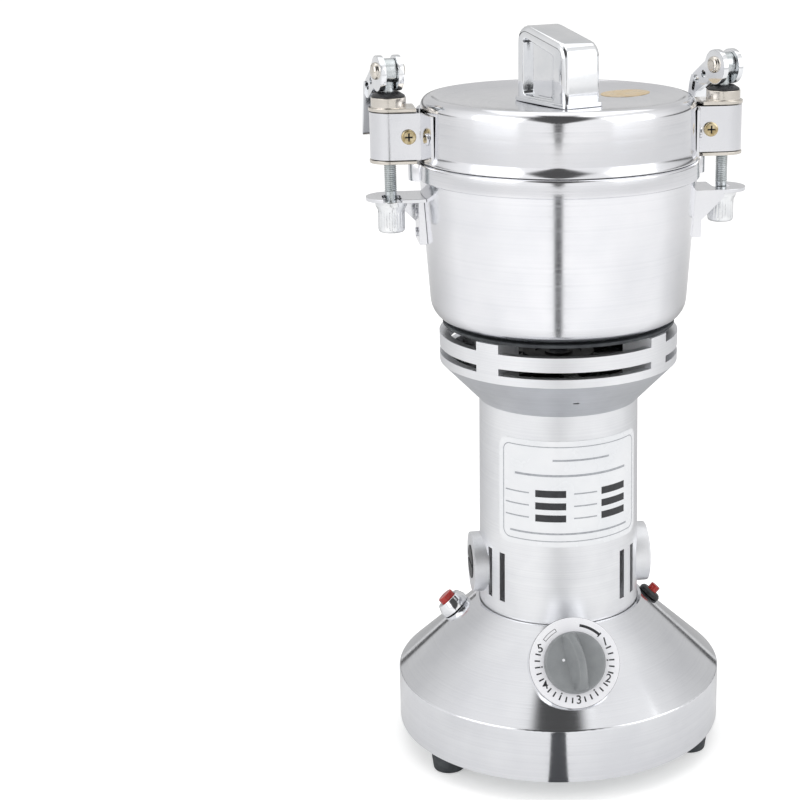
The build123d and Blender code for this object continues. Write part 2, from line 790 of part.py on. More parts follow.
def blade_nut():
    top = blade_nut_z + blade_nut_height
    nut = Pos(0, 0, blade_nut_z) * extrude(RegularPolygon(blade_nut_flats / 2, 6, major_radius=False),
                                           blade_nut_height)
    nut &= lathe([(0, blade_nut_z), (blade_nut_flats, blade_nut_z), (blade_nut_flats / 2, top), (0, top)])
    return nut - rod(blade_bore, blade_nut_z - 1, top + 1)


# Bowl

def bowl():
    wall_base = bowl_radius(bowl_z)
    wall_top = bowl_radius(bowl_top_z - rim_height)
    rim_z = bowl_top_z - rim_height
    outer = lathe([(0, bowl_z), (wall_base, bowl_z), (wall_top, rim_z), (rim_radius, rim_z),
                   (rim_radius, bowl_top_z), (0, bowl_top_z)],
                  {(wall_base, bowl_z): bowl_corner, (rim_radius, rim_z): rim_round})
    inner = lathe([(0, bowl_floor_z), (wall_base - bowl_wall, bowl_floor_z),
                   (wall_top - bowl_wall, rim_z), (wall_top - bowl_wall, bowl_top_z + 1),
                   (0, bowl_top_z + 1)],
                  {(wall_base - bowl_wall, bowl_floor_z): bowl_corner - bowl_wall})
    for a in clamp_azimuths:
        ear = extrude(SlotOverall(bowl_ear_reach * 2, bowl_ear_width), bowl_ear_height)
        ear &= block(0, bowl_ear_reach + 1, -bowl_ear_width, bowl_ear_width, -1, bowl_ear_height + 1)
        outer += turn(a) * Pos(0, 0, rim_z - 0.5) * ear
    shell = outer - inner - rod(seal_radius + seat_gap, bowl_z - 1, bowl_floor_z + 1)
    for a in post_azimuths:
        shell -= turn(a) * Pos(bowl_screw_circle, 0, 0) * rod(bowl_screw_radius + seat_gap,
                                                              bowl_z - 1, bowl_floor_z + 1)
    return shell


def bowl_gasket():
    gasket = tube(gasket_radius, seal_radius + seat_gap, post_top_z, bowl_z)
    for a in post_azimuths:
        gasket -= turn(a) * Pos(bowl_screw_circle, 0, 0) * rod(bowl_screw_radius + seat_gap,
                                                               post_top_z - 1, bowl_z + 1)
    return gasket & rod(bowl_radius(bowl_z) - bowl_corner / 3, post_top_z - 1, bowl_z + 1)


def bowl_screws():
    head_top = bowl_floor_z + bowl_screw_head_height
    screw = rod(bowl_screw_head_radius, bowl_floor_z, head_top)
    screw = fillet(screw.edges().filter_by(GeomType.CIRCLE).sort_by(Axis.Z)[-1], 1.2)
    screw += rod(bowl_screw_radius - fit_gap, post_top_z - bowl_screw_bite + 1, bowl_floor_z + 0.5)
    for angle in (0, 90):
        screw -= Rot(0, 0, angle) * block(-2.2, 2.2, -0.5, 0.5, head_top - 1.2, head_top + 1)
    return group(turn(a) * Pos(bowl_screw_circle, 0, 0) * screw for a in post_azimuths)


def shaft_seal():
    seal = rod(seal_radius, post_top_z, bowl_floor_z + 0.5)
    seal += rod(seal_flange_radius, bowl_floor_z, bowl_floor_z + seal_flange_height)
    return seal - rod(shaft_radius + seat_gap, post_top_z - 1, bowl_floor_z + seal_flange_height + 1)


def bowl_wall_cone(margin):
    """Solid that the bowl's wall fills, grown by a margin, for pieces that lie on it."""
    low, high = bowl_z, bowl_top_z - rim_height
    return lathe([(0, low), (bowl_radius(low) + margin, low), (bowl_radius(high) + margin, high), (0, high)])


def bowl_catch():
    """Fork under the lid's stud, on a leg against the bowl; the slot opens towards +Y."""
    leg_face = bowl_radius(catch_top_z) + catch_leg_thickness
    plate = block(bowl_radius(catch_z) - 2, stud_distance, -catch_nose_radius, catch_nose_radius,
                  catch_z, catch_top_z)
    plate += Pos(stud_distance, 0, 0) * rod(catch_nose_radius, catch_z, catch_top_z)
    slot = catch_slot_width / 2
    plate -= Pos(stud_distance, 0, 0) * rod(slot, catch_z - 1, catch_top_z + 1)
    plate -= block(stud_distance - slot, stud_distance + slot, 0, catch_nose_radius + 1,
                   catch_z - 1, catch_top_z + 1)
    leg = block(bowl_radius(catch_top_z) - catch_leg_depth, leg_face,
                -catch_leg_width / 2 - catch_leg_offset, catch_leg_width / 2 - catch_leg_offset,
                catch_top_z - catch_leg_height, catch_top_z)
    gusset_y = -catch_nose_radius
    gusset = Plane.XZ.offset(-gusset_y - gusset_thickness) * profile(
        [(leg_face - 1, catch_z - gusset_height), (leg_face - 1, catch_z + 0.5),
         (leg_face + gusset_reach, catch_z + 0.5), (leg_face + gusset_reach, catch_z - 2)])
    fork = plate + leg + extrude(gusset, gusset_thickness)
    return fork - bowl_wall_cone(seat_gap)


def bowl_catches():
    return group(turn(a) * bowl_catch() for a in clamp_azimuths)


def catch_rivets():
    leg_face = bowl_radius(catch_top_z) + catch_leg_thickness
    rivets = []
    for a in clamp_azimuths:
        for drop in catch_rivet_drops:
            head = along_x(rod(catch_rivet_radius, leg_face, leg_face + 1.0))
            rivets.append(turn(a) * Pos(0, -catch_leg_offset, catch_top_z - drop) * head)
    return group(rivets)


# Lid

def lid_profile(inset):
    """Half section of the lid's outside, moved inwards by an inset, closed to the axis."""
    corner = lid_edge_round
    centre_x = lid_shoulder_radius - corner
    centre_z = lid_top_z - corner
    bend = corner - inset
    lip_x, lip_z = centre_x - dish_lip, lid_top_z - dish_depth * 0.55 - inset
    half = sin(radians(45))
    wall = Line((lid_bottom_radius - inset, lid_z), (lid_shoulder_radius - inset, centre_z))
    edge = ThreePointArc((lid_shoulder_radius - inset, centre_z),
                         (centre_x + bend * half, centre_z + bend * half), (centre_x, centre_z + bend))
    crest_z = centre_z + bend
    lip_middle = (centre_x - dish_lip * 0.55, (lip_z + 2 * crest_z) / 3 - 0.1)
    lip = ThreePointArc((centre_x, crest_z), lip_middle, (lip_x, lip_z))
    low = dish_z - inset
    dish_radius = (lip_x ** 2 + (lip_z - low) ** 2) / (2 * (lip_z - low))
    middle = lip_x / 2
    sag = dish_radius - sqrt(dish_radius ** 2 - middle ** 2)
    dish = ThreePointArc((lip_x, lip_z), (middle, low + sag), (0, low))
    axis = Line((0, low), (0, lid_z))
    foot = Line((0, lid_z), (lid_bottom_radius - inset, lid_z))
    return make_face(wall + edge + lip + dish + axis + foot)


def lid_shell():
    outer = revolve(Plane.XZ * lid_profile(0), Axis.Z)
    inner = revolve(Plane.XZ * lid_profile(lid_wall), Axis.Z)
    shell = outer - inner
    for spot in handle_screw_spots():
        bore = rod(handle_screw_radius + seat_gap, lid_z, lid_top_z)
        shell -= handle_pose() * Pos(spot, 0, 0) * bore
    return shell


def lid_seal():
    """Silicone ring inside the lid that drops into the bowl's mouth."""
    mouth = bowl_radius(bowl_top_z - rim_height) - bowl_wall - running_gap
    inner_wall = lid_bottom_radius - lid_wall - seat_gap
    lean = (lid_bottom_radius - lid_shoulder_radius) / (lid_height - lid_edge_round)
    top = lid_z + seal_ring_height / 2
    low = bowl_top_z - seal_ring_height / 2
    return lathe([(mouth - seal_ring_width, low), (mouth, low), (mouth, lid_z),
                  (inner_wall - 0.02, lid_z), (inner_wall - lean * seal_ring_height, top),
                  (mouth - seal_ring_width, top)])


def handle_pose():
    return turn(handle_azimuth)


def handle_screw_spots():
    return (-handle_screw_spacing / 2, handle_screw_spacing / 2)


def lid_handle():
    """Grip block, built along X with its low end at +X."""
    half = handle_length / 2
    low = dish_z + seat_gap
    near_top, far_top = low + handle_near_height, low + handle_far_height
    side = profile([(-half, low), (half, low), (half - 1, near_top), (-half + 0.5, far_top)],
                   {(half - 1, near_top): handle_round, (-half + 0.5, far_top): handle_round})
    grip = extrude(Plane.XZ.offset(-handle_width / 2) * side, handle_width)
    panel = profile([(-half + panel_far_margin, low + panel_bottom_margin),
                     (half - panel_near_margin, low + panel_bottom_margin),
                     (half - panel_near_margin, near_top - panel_top_margin + 2),
                     (-half + panel_far_margin, far_top - panel_top_margin)])
    panel = fillet(panel.vertices(), 2.5)
    recess = extrude(Plane.XZ.offset(handle_width / 2 - panel_depth) * panel, panel_depth + 1)
    grip = grip - recess - mirror(recess, Plane.XZ)
    foot = block(-half - handle_foot_margin, half + handle_foot_margin,
                 -handle_width / 2 - handle_foot_margin, handle_width / 2 + handle_foot_margin,
                 low, low + handle_foot_height)
    foot = fillet(foot.edges().filter_by(Axis.Z), 1.5)
    grip = grip + foot
    for spot in handle_screw_spots():
        grip -= Pos(spot, 0, 0) * rod(handle_screw_radius - fit_gap, low - 1, low + handle_screw_bite + 1)
    return handle_pose() * (grip - lid_dish_clearance())


def lid_dish_clearance():
    """The dished lid grown by the seat gap, so that the handle's foot follows it."""
    return Pos(0, 0, seat_gap) * revolve(Plane.XZ * lid_profile(0), Axis.Z)


def handle_screws():
    head_top = dish_z - lid_wall - seat_gap
    screw = rod(handle_screw_head_radius, head_top - handle_screw_head_height, head_top)
    screw += rod(handle_screw_radius - fit_gap, head_top - 0.5, dish_z + handle_screw_bite)
    return group(handle_pose() * Pos(spot, 0, 0) * screw for spot in handle_screw_spots())


# Clamps. Each is built on +X and turned to its side.

def lid_clip():
    inner = strap_radius - strap_thickness
    nose = tube(strap_radius, inner, strap_z, strap_top_z)
    nose &= block(0, strap_radius, -strap_radius, strap_radius, strap_z, strap_top_z)
    clip = Pos(stud_distance, 0, 0) * nose
    wall_face = lid_bottom_radius + seat_gap
    for side in (-1, 1):
        y_low, y_high = sorted((side * inner, side * strap_radius))
        clip += block(wall_face - 2, stud_distance, y_low, y_high, strap_z, strap_top_z)
        y_low, y_high = sorted((side * inner, side * flange_reach))
        flange = tube(wall_face + flange_thickness, wall_face - 4, strap_z, strap_top_z)
        clip += flange & block(0, base_radius, y_low, y_high, strap_z, strap_top_z)
    clip -= rod(wall_face, strap_z - 1, strap_top_z + 1)
    clip -= Pos(stud_distance - clip_screw_inset, 0, strap_z + strap_height / 2) * Rot(90, 0, 0) * rod(
        clip_screw_radius + seat_gap, -2 * strap_radius, 2 * strap_radius)
    return clip


def lid_clips():
    return group(turn(a) * lid_clip() for a in clamp_azimuths)


def clip_screws():
    head = rod(clip_screw_head_radius, strap_radius, strap_radius + clip_screw_head_height)
    head = fillet(head.edges().filter_by(GeomType.CIRCLE).sort_by(Axis.Z)[-1], 0.9)
    screw = head + rod(clip_screw_radius, -strap_radius - 1, strap_radius + 0.5)
    for angle in (0, 90):
        screw -= Rot(0, 0, angle) * block(-2.2, 2.2, -0.45, 0.45, strap_radius + 0.9, strap_radius + 3)
    screw += rod(clip_screw_head_radius - 0.6, -strap_radius - 2.4, -strap_radius)
    place = Pos(stud_distance - clip_screw_inset, 0, strap_z + strap_height / 2)
    left = turn(clamp_azimuths[0]) * place * Rot(-90, 0, 0) * screw
    right = turn(clamp_azimuths[1]) * place * Rot(90, 0, 0) * screw
    return group([left, right])


def clip_rivets():
    wall_face = lid_bottom_radius + seat_gap
    rivets = []
    rivet = along_x(rod(rivet_head_radius, wall_face + flange_thickness,
                        wall_face + flange_thickness + rivet_head_height))
    swing = rivet_reach / wall_face
    for a in clamp_azimuths:
        for side in (-1, 1):
            place = Rot(0, 0, side * degrees(swing))
            rivets.append(turn(a) * place * Pos(0, 0, strap_z + strap_height / 2) * rivet)
    return group(rivets)


def stadium(low, high, margin):
    """Plate over the strap, from its nose in to the lid."""
    radius = strap_radius + margin
    inner = rim_radius + 2 * running_gap
    return Pos(stud_distance, 0, 0) * rod(radius, low, high) + block(
        inner, stud_distance, -radius, radius, low, high)


def clamp_guide():
    """Bush that fills the strap's nose, with an end plate above and below and the collar on top."""
    bush = rod(guide_bush_radius, strap_z - guide_plate_gap, guide_plate_z + 0.5)
    collar = rod(collar_radius, collar_z - 0.5, washer_z)
    guide = Pos(stud_distance, 0, 0) * (bush + collar)
    guide += stadium(guide_plate_z, collar_z, guide_plate_margin)
    guide += stadium(lid_z - 0.9, strap_z - guide_plate_gap + 0.2, guide_plate_margin)
    guide -= Pos(stud_distance, 0, 0) * rod(stud_radius + running_gap, lid_z - 3, washer_z + 1)
    return guide - rod(rim_radius + 2 * running_gap, 0, washer_z + 1)


def clamp_guides():
    return group(turn(a) * clamp_guide() for a in clamp_azimuths)


def clamp_washers():
    washer = lathe([(stud_radius + running_gap, washer_z), (washer_bottom_radius, washer_z),
                    (washer_bottom_radius, washer_z + 0.8), (washer_top_radius, washer_top_z),
                    (stud_radius + running_gap, washer_top_z)])
    return group(turn(a) * Pos(stud_distance, 0, 0) * washer for a in clamp_azimuths)


def stud(angle):
    """Threaded stud with a flat eye for the cam lever's pin; X is the pin's axis."""
    rise = pin_z - nut_z - nut_floor
    body = rod(stud_radius - fit_gap, -rise, -eye_radius / 2)
    body += along_x(rod(eye_radius, -eye_thickness / 2, eye_thickness / 2))
    body -= along_x(rod(pin_radius + 2 * fit_gap, -eye_thickness, eye_thickness))
    return Rot(0, 0, angle) * body


def lever_side(x_low):
    """One cam disc with its arm; X is the pin's axis and the arm runs to +Y."""
    drop = radians(lever_arm_drop)
    bend_y, bend_z = lever_arm_length * cos(drop), -lever_arm_length * sin(drop)
    half = lever_neck_height / 2
    arm = profile([(0, cam_radius - cam_offset - 0.6), (bend_y + 1, bend_z + half),
                   (bend_y + 2, bend_z - half), (bend_y - 3, bend_z - half),
                   (2, -cam_radius - cam_offset + 3)])
    side = extrude(Plane.YZ.offset(x_low) * arm, cam_thickness)
    side += Pos(0, 0, -cam_offset) * along_x(rod(cam_radius, x_low, x_low + cam_thickness))
    for spot in lever_hole_spots:
        side -= Pos(0, spot * cos(drop), -spot * sin(drop)) * along_x(
            rod(lever_hole_radius, x_low - 1, x_low + cam_thickness + 1))
    return side - along_x(rod(pin_radius + fit_gap, x_low - 1, x_low + cam_thickness + 1))


def cam_lever(angle):
    drop = radians(lever_arm_drop)
    lean = radians(lever_grip_lean)
    bend_y, bend_z = lever_arm_length * cos(drop), -lever_arm_length * sin(drop)
    tip_y = bend_y + lever_grip_length * sin(lean)
    tip_z = bend_z - lever_grip_length * cos(lean)
    thick = lever_grip_thickness
    grip = profile([(bend_y - 2, bend_z + 4), (bend_y + 1, bend_z + 4), (bend_y + thick + 1, bend_z),
                    (tip_y + thick, tip_z), (tip_y, tip_z), (bend_y - 0.5, bend_z)])
    half = lever_grip_width / 2
    lever = extrude(Plane.YZ.offset(-half) * grip, lever_grip_width)
    for side in (cam_spacing / 2, -cam_spacing / 2 - cam_thickness):
        lever += lever_side(side)
    for step in range(lever_rib_count):
        share = 1 - (step + 1) * lever_rib_pitch / lever_grip_length
        rib_y = bend_y + share * (tip_y - bend_y) + thick
        rib_z = bend_z + share * (tip_z - bend_z)
        lever += Pos(0, rib_y, rib_z) * along_x(rod(lever_rib_height, -half + 1, half - 1))
    return Rot(0, 0, angle) * lever


def lever_pin(angle):
    """Pin with two domed heads."""
    reach = cam_spacing / 2 + cam_thickness
    pin = rod(pin_radius, -reach - 0.5, reach + 0.5)
    head = rod(pin_head_radius, reach, reach + pin_head_height)
    head = fillet(head.edges().filter_by(GeomType.CIRCLE).sort_by(Axis.Z)[-1], pin_head_height * 0.85)
    pin = pin + head + mirror(head, Plane.XY)
    return Rot(0, 0, angle) * along_x(pin)


def on_stud(side, shape):
    x = stud_distance if side == "right" else -stud_distance
    return Pos(x, 0, pin_z) * shape


def knurled_nut(side):
    nut = lathe([(0, nut_z), (nut_radius, nut_z), (nut_radius, nut_top_z - 2 * nut_flange_height),
                 (nut_flange_radius, nut_top_z - nut_flange_height), (nut_flange_radius, nut_top_z),
                 (0, nut_top_z)], {(nut_radius, nut_z): nut_round})
    nut -= rod(stud_radius + fit_gap, nut_z + nut_floor - 0.5, nut_top_z + 1)
    x = stud_distance if side == "right" else -stud_distance
    return Pos(x, 0, 0) * nut


# Controls

dial_top = dial_pad_rise + dial_thickness
knob_low = dial_top + 2 * running_gap


def timer_dial():
    dial = tube(dial_radius, timer_bush_radius + seat_gap, dial_pad_rise, dial_top)
    return dial_plane * dial


def timer_body():
    low = -dial_pad_depth - timer_depth
    half = timer_width / 2
    case = block(-half, half, -timer_down, timer_up, low, -dial_pad_depth)
    case = fillet(case.edges().filter_by(Axis.Z), 3)
    nut_top = dial_top + timer_nut_height
    case += rod(timer_bush_radius, -dial_pad_depth - 0.5, nut_top + 0.4)
    case -= rod(spindle_radius + running_gap, -dial_pad_depth - spindle_depth, nut_top + 1)
    return dial_plane * case


def timer_nut():
    nut = Pos(0, 0, dial_top) * extrude(RegularPolygon(timer_nut_radius, 6), timer_nut_height)
    nut -= rod(timer_bush_radius + fit_gap, dial_top - 1, dial_top + timer_nut_height + 1)
    return dial_plane * nut


def timer_knob():
    """Hollow turned skirt with a bar grip across it, on its spindle."""
    skirt_top = knob_low + knob_skirt_height
    top = knob_low + knob_grip_height
    knob = lathe([(0, knob_low), (knob_radius, knob_low), (knob_radius - 0.6, skirt_top), (0, skirt_top)],
                 {(knob_radius - 0.6, skirt_top): 1.0})
    bar_half = knob_radius - 1.6
    bar = extrude(Plane.XZ.offset(-bar_half) * profile(
        [(-knob_grip_width / 2, skirt_top - 1), (knob_grip_width / 2, skirt_top - 1),
         (knob_grip_width / 2 - 0.7, top), (-knob_grip_width / 2 + 0.7, top)]), 2 * bar_half)
    crown = Pos(0, 0, top - 2.4 * knob_radius) * Rot(0, 90, 0) * Cylinder(2.4 * knob_radius, knob_radius * 2)
    knob += bar & crown
    hollow = timer_nut_radius + 2 * running_gap
    knob -= rod(hollow, knob_low - 1, dial_top + timer_nut_height + 0.4 + running_gap)
    knob += rod(spindle_radius, -dial_pad_depth - spindle_depth + running_gap, skirt_top)
    return dial_plane * knob


def switch_bezel():
    bezel = lathe([(0, 0), (switch_bezel_radius, 0), (switch_bezel_radius, switch_bezel_height * 0.45),
                   (switch_bezel_radius - 1.6, switch_bezel_height), (0, switch_bezel_height)])
    bezel = extrude(RegularPolygon(switch_bezel_radius, 8), -base_wall) + bezel
    bezel -= rod(switch_body_radius + seat_gap, -base_wall - 1, switch_bezel_height * 0.5)
    bezel -= rod(switch_cap_radius + running_gap, 0, switch_bezel_height + 1)
    return switch_plane * (bezel & rod(switch_bezel_radius + 1, seat_gap, switch_bezel_height + 1))


def switch_body():
    body = rod(switch_body_radius, -switch_body_depth, switch_bezel_height * 0.5 - seat_gap)
    body -= rod(switch_cap_radius + running_gap, -3, switch_bezel_height)
    return switch_plane * body


def start_button():
    low = -3 + switch_travel + running_gap
    return switch_plane * fillet(rod(switch_cap_radius, low, switch_bezel_height + switch_cap_rise)
                                 .edges().filter_by(GeomType.CIRCLE).sort_by(Axis.Z)[-1:], 0.8)


def overload_breaker():
    body = rod(breaker_body_radius, -breaker_body_depth, 0.5)
    body += lathe([(0, seat_gap), (breaker_collar_radius, seat_gap),
                   (breaker_collar_radius, breaker_collar_height * 0.6),
                   (breaker_collar_radius - 1.2, breaker_collar_height), (0, breaker_collar_height)])
    body -= rod(reset_radius + running_gap, -4, breaker_collar_height + 1)
    return breaker_plane * body


def reset_button():
    low = -4 + reset_travel + running_gap
    return breaker_plane * rod(reset_radius, low, breaker_collar_height + reset_rise)


# Mains side, inside the base

def cord_gland():
    outer_face = base_radius + gland_flange_thickness
    neck = rod(gland_neck_radius, base_radius - base_wall - gland_inner_length, base_radius + 1)
    flange = rod(gland_flange_radius, base_radius - 1, outer_face)
    gland = along_x(neck + flange) - rod(base_radius, -base_radius, base_radius) \
        + along_x(neck)
    gland -= along_x(rod(gland_bore_radius, base_radius - 4 * base_wall - gland_inner_length,
                         outer_face + 1))
    return gland_pose * gland


def terminal_block():
    length, width, height = block_size
    x, y = block_place
    body = block(x - length / 2, x + length / 2, y - width / 2, y + width / 2, plate_top_z,
                 plate_top_z + height)
    for step in range(3):
        well_x = x + (step - 1) * length / 3
        body -= Pos(well_x, y, 0) * rod(2.0, plate_top_z + height / 2, plate_top_z + height + 1)
    return body


def capacitor():
    length, width, height = capacitor_size
    x, y = capacitor_place
    body = block(x - length / 2, x + length / 2, y - width / 2, y + width / 2, plate_top_z,
                 plate_top_z + height)
    return fillet(body.edges().filter_by(Axis.Z), 2)


nodes = {
    "base_shell": base_shell,
    "base_plate": base_plate,
    "rubber_feet": rubber_feet,
    "foot_screws": foot_screws,
    "motor_housing": motor_housing,
    "housing_screws": housing_screws,
    "brush_holders": brush_holders,
    "carbon_brushes": carbon_brushes,
    "brush_springs": brush_springs,
    "brush_caps": brush_caps,
    "stator_core": stator_core,
    "field_coils": field_coils,
    "end_shield": end_shield,
    "shield_screws": shield_screws,
    "bearings": bearings,
    "motor_shaft": motor_shaft,
    "armature_core": armature_core,
    "armature_windings": armature_windings,
    "commutator": commutator,
    "cooling_fan": cooling_fan,
    "lower_blade": lower_blade,
    "upper_blade": upper_blade,
    "blade_spacer": blade_spacer,
    "blade_nut": blade_nut,
    "bowl": bowl,
    "bowl_gasket": bowl_gasket,
    "bowl_screws": bowl_screws,
    "shaft_seal": shaft_seal,
    "bowl_catches": bowl_catches,
    "catch_rivets": catch_rivets,
    "lid_shell": lid_shell,
    "lid_seal": lid_seal,
    "lid_handle": lid_handle,
    "handle_screws": handle_screws,
    "lid_clips": lid_clips,
    "clip_screws": clip_screws,
    "clip_rivets": clip_rivets,
    "clamp_guides": clamp_guides,
    "clamp_washers": clamp_washers,
    "stud_left": lambda: on_stud("left", stud(lever_angles[0])),
    "stud_right": lambda: on_stud("right", stud(lever_angles[1])),
    "cam_lever_left": lambda: on_stud("left", cam_lever(lever_angles[0])),
    "cam_lever_right": lambda: on_stud("right", cam_lever(lever_angles[1])),
    "lever_pin_left": lambda: on_stud("left", lever_pin(lever_angles[0])),
    "lever_pin_right": lambda: on_stud("right", lever_pin(lever_angles[1])),
    "knurled_nut_left": lambda: knurled_nut("left"),
    "knurled_nut_right": lambda: knurled_nut("right"),
    "timer_dial": timer_dial,
    "timer_body": timer_body,
    "timer_nut": timer_nut,
    "timer_knob": timer_knob,
    "switch_bezel": switch_bezel,
    "switch_body": switch_body,
    "start_button": start_button,
    "overload_breaker": overload_breaker,
    "reset_button": reset_button,
    "cord_gland": cord_gland,
    "terminal_block": terminal_block,
    "capacitor": capacitor,
}

if __name__ == "__main__":
    os.makedirs("parts", exist_ok=True)
    for name, make in nodes.items():
        export_step(make(), f"parts/{name}.step")
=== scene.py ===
# Electric grain mill: finishes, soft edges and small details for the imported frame.
# Lengths in the settings are millimetres; makePiece turns them into metres.
import json
import math

import bmesh
import bpy
from mathutils import Matrix, Vector

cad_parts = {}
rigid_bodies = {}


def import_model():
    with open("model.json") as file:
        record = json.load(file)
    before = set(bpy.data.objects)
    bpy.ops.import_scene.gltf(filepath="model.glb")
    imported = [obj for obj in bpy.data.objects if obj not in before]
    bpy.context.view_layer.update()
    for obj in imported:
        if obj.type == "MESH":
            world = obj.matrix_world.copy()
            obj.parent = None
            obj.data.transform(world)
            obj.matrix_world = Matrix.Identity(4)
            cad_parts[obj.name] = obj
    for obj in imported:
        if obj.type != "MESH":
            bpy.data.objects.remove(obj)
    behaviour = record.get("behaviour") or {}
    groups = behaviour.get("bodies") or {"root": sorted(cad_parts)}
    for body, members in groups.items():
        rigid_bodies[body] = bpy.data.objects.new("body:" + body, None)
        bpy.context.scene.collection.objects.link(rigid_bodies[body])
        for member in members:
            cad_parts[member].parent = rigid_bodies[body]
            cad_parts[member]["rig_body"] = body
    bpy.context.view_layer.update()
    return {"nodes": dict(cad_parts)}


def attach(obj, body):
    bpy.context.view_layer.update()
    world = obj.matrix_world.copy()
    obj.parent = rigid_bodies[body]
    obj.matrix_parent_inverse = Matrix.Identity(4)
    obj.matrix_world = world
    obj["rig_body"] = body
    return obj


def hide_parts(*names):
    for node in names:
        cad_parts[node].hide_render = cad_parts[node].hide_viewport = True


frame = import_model()
nodes = frame["nodes"]
scene = bpy.context.scene
mm = 0.001
print("frame loaded:", len(nodes), "nodes")


# Finishes

def hexColour(code):
    channels = [int(code[i:i + 2], 16) / 255 for i in (1, 3, 5)]
    return [c / 12.92 if c <= 0.04045 else ((c + 0.055) / 1.055) ** 2.4 for c in channels] + [1.0]


def emptyTree(holder):
    # the cleared node tree of a new material or world
    holder.use_nodes = True
    holder.node_tree.nodes.clear()
    return holder.node_tree


def addNode(tree, kind, inputs=(), **settings):
    # inputs: a dictionary of sockets, or a row that fills them in order
    node = tree.nodes.new(kind)
    for key, value in settings.items():
        setattr(node, key, value)
    for key, value in inputs.items() if isinstance(inputs, dict) else enumerate(inputs):
        if isinstance(value, bpy.types.NodeSocket):
            tree.links.new(value, node.inputs[key])
        else:
            node.inputs[key].default_value = value
    return node


# most of a noise lies in the first span, and most of the sum of both in the second
pattern = dict(grainDetail=2.0, cloudDetail=3.0, streak=0.15, span=(0.35, 0.65), sumSpan=(0.75, 1.25))


def makeFinish(name, look):
    material = bpy.data.materials.new(name)
    tree = emptyTree(material)
    place = addNode(tree, "ShaderNodeTexCoord").outputs["Object"]
    if look.get("turned"):  # its lines run round Z
        parts = addNode(tree, "ShaderNodeSeparateXYZ", (place,)).outputs
        flat = addNode(tree, "ShaderNodeCombineXYZ", (parts["X"], parts["Y"])).outputs["Vector"]
        radius = addNode(tree, "ShaderNodeVectorMath", (flat,), operation="LENGTH").outputs["Value"]
        lines = addNode(tree, "ShaderNodeCombineXYZ", {"X": radius, "Z": parts["Z"]}).outputs["Vector"]
    else:
        stretch = look.get("stretch", (1, 1, 1))
        lines = addNode(tree, "ShaderNodeMapping", {"Vector": place, "Scale": stretch}).outputs["Vector"]
    grain, cloud = [addNode(tree, "ShaderNodeTexNoise", {"Vector": way, "Scale": 1 / (look[size] * mm),
                                                         "Detail": pattern[size + "Detail"]}).outputs["Fac"]
                    for way, size in ((lines, "grain"), (place, "cloud"))]
    streak = look.get("streak", pattern["streak"])
    streaked = addNode(tree, "ShaderNodeMix", {0: streak, 2: cloud, 3: grain}).outputs[0]
    tint = addNode(tree, "ShaderNodeMapRange", (streaked, *pattern["span"])).outputs["Result"]
    colour = addNode(tree, "ShaderNodeMix",
                     {0: tint, 6: hexColour(look["light"]), 7: hexColour(look["dark"])},
                     data_type="RGBA").outputs[2]
    both = addNode(tree, "ShaderNodeMath", (grain, cloud), operation="ADD").outputs["Value"]
    roughness = addNode(tree, "ShaderNodeMapRange", (both, *pattern["sumSpan"], *look["rough"]))
    bump = addNode(tree, "ShaderNodeBump", {"Height": grain, "Distance": look["depth"] * mm})
    shader = addNode(tree, "ShaderNodeBsdfPrincipled",
                     {"Base Color": colour, "Roughness": roughness.outputs["Result"],
                      "Normal": bump.outputs["Normal"], "Metallic": look.get("metallic", 0.0),
                      **look.get("sockets", {})})
    addNode(tree, "ShaderNodeOutputMaterial", {"Surface": shader.outputs["BSDF"]})
    material.diffuse_color = hexColour(look["light"])
    return material


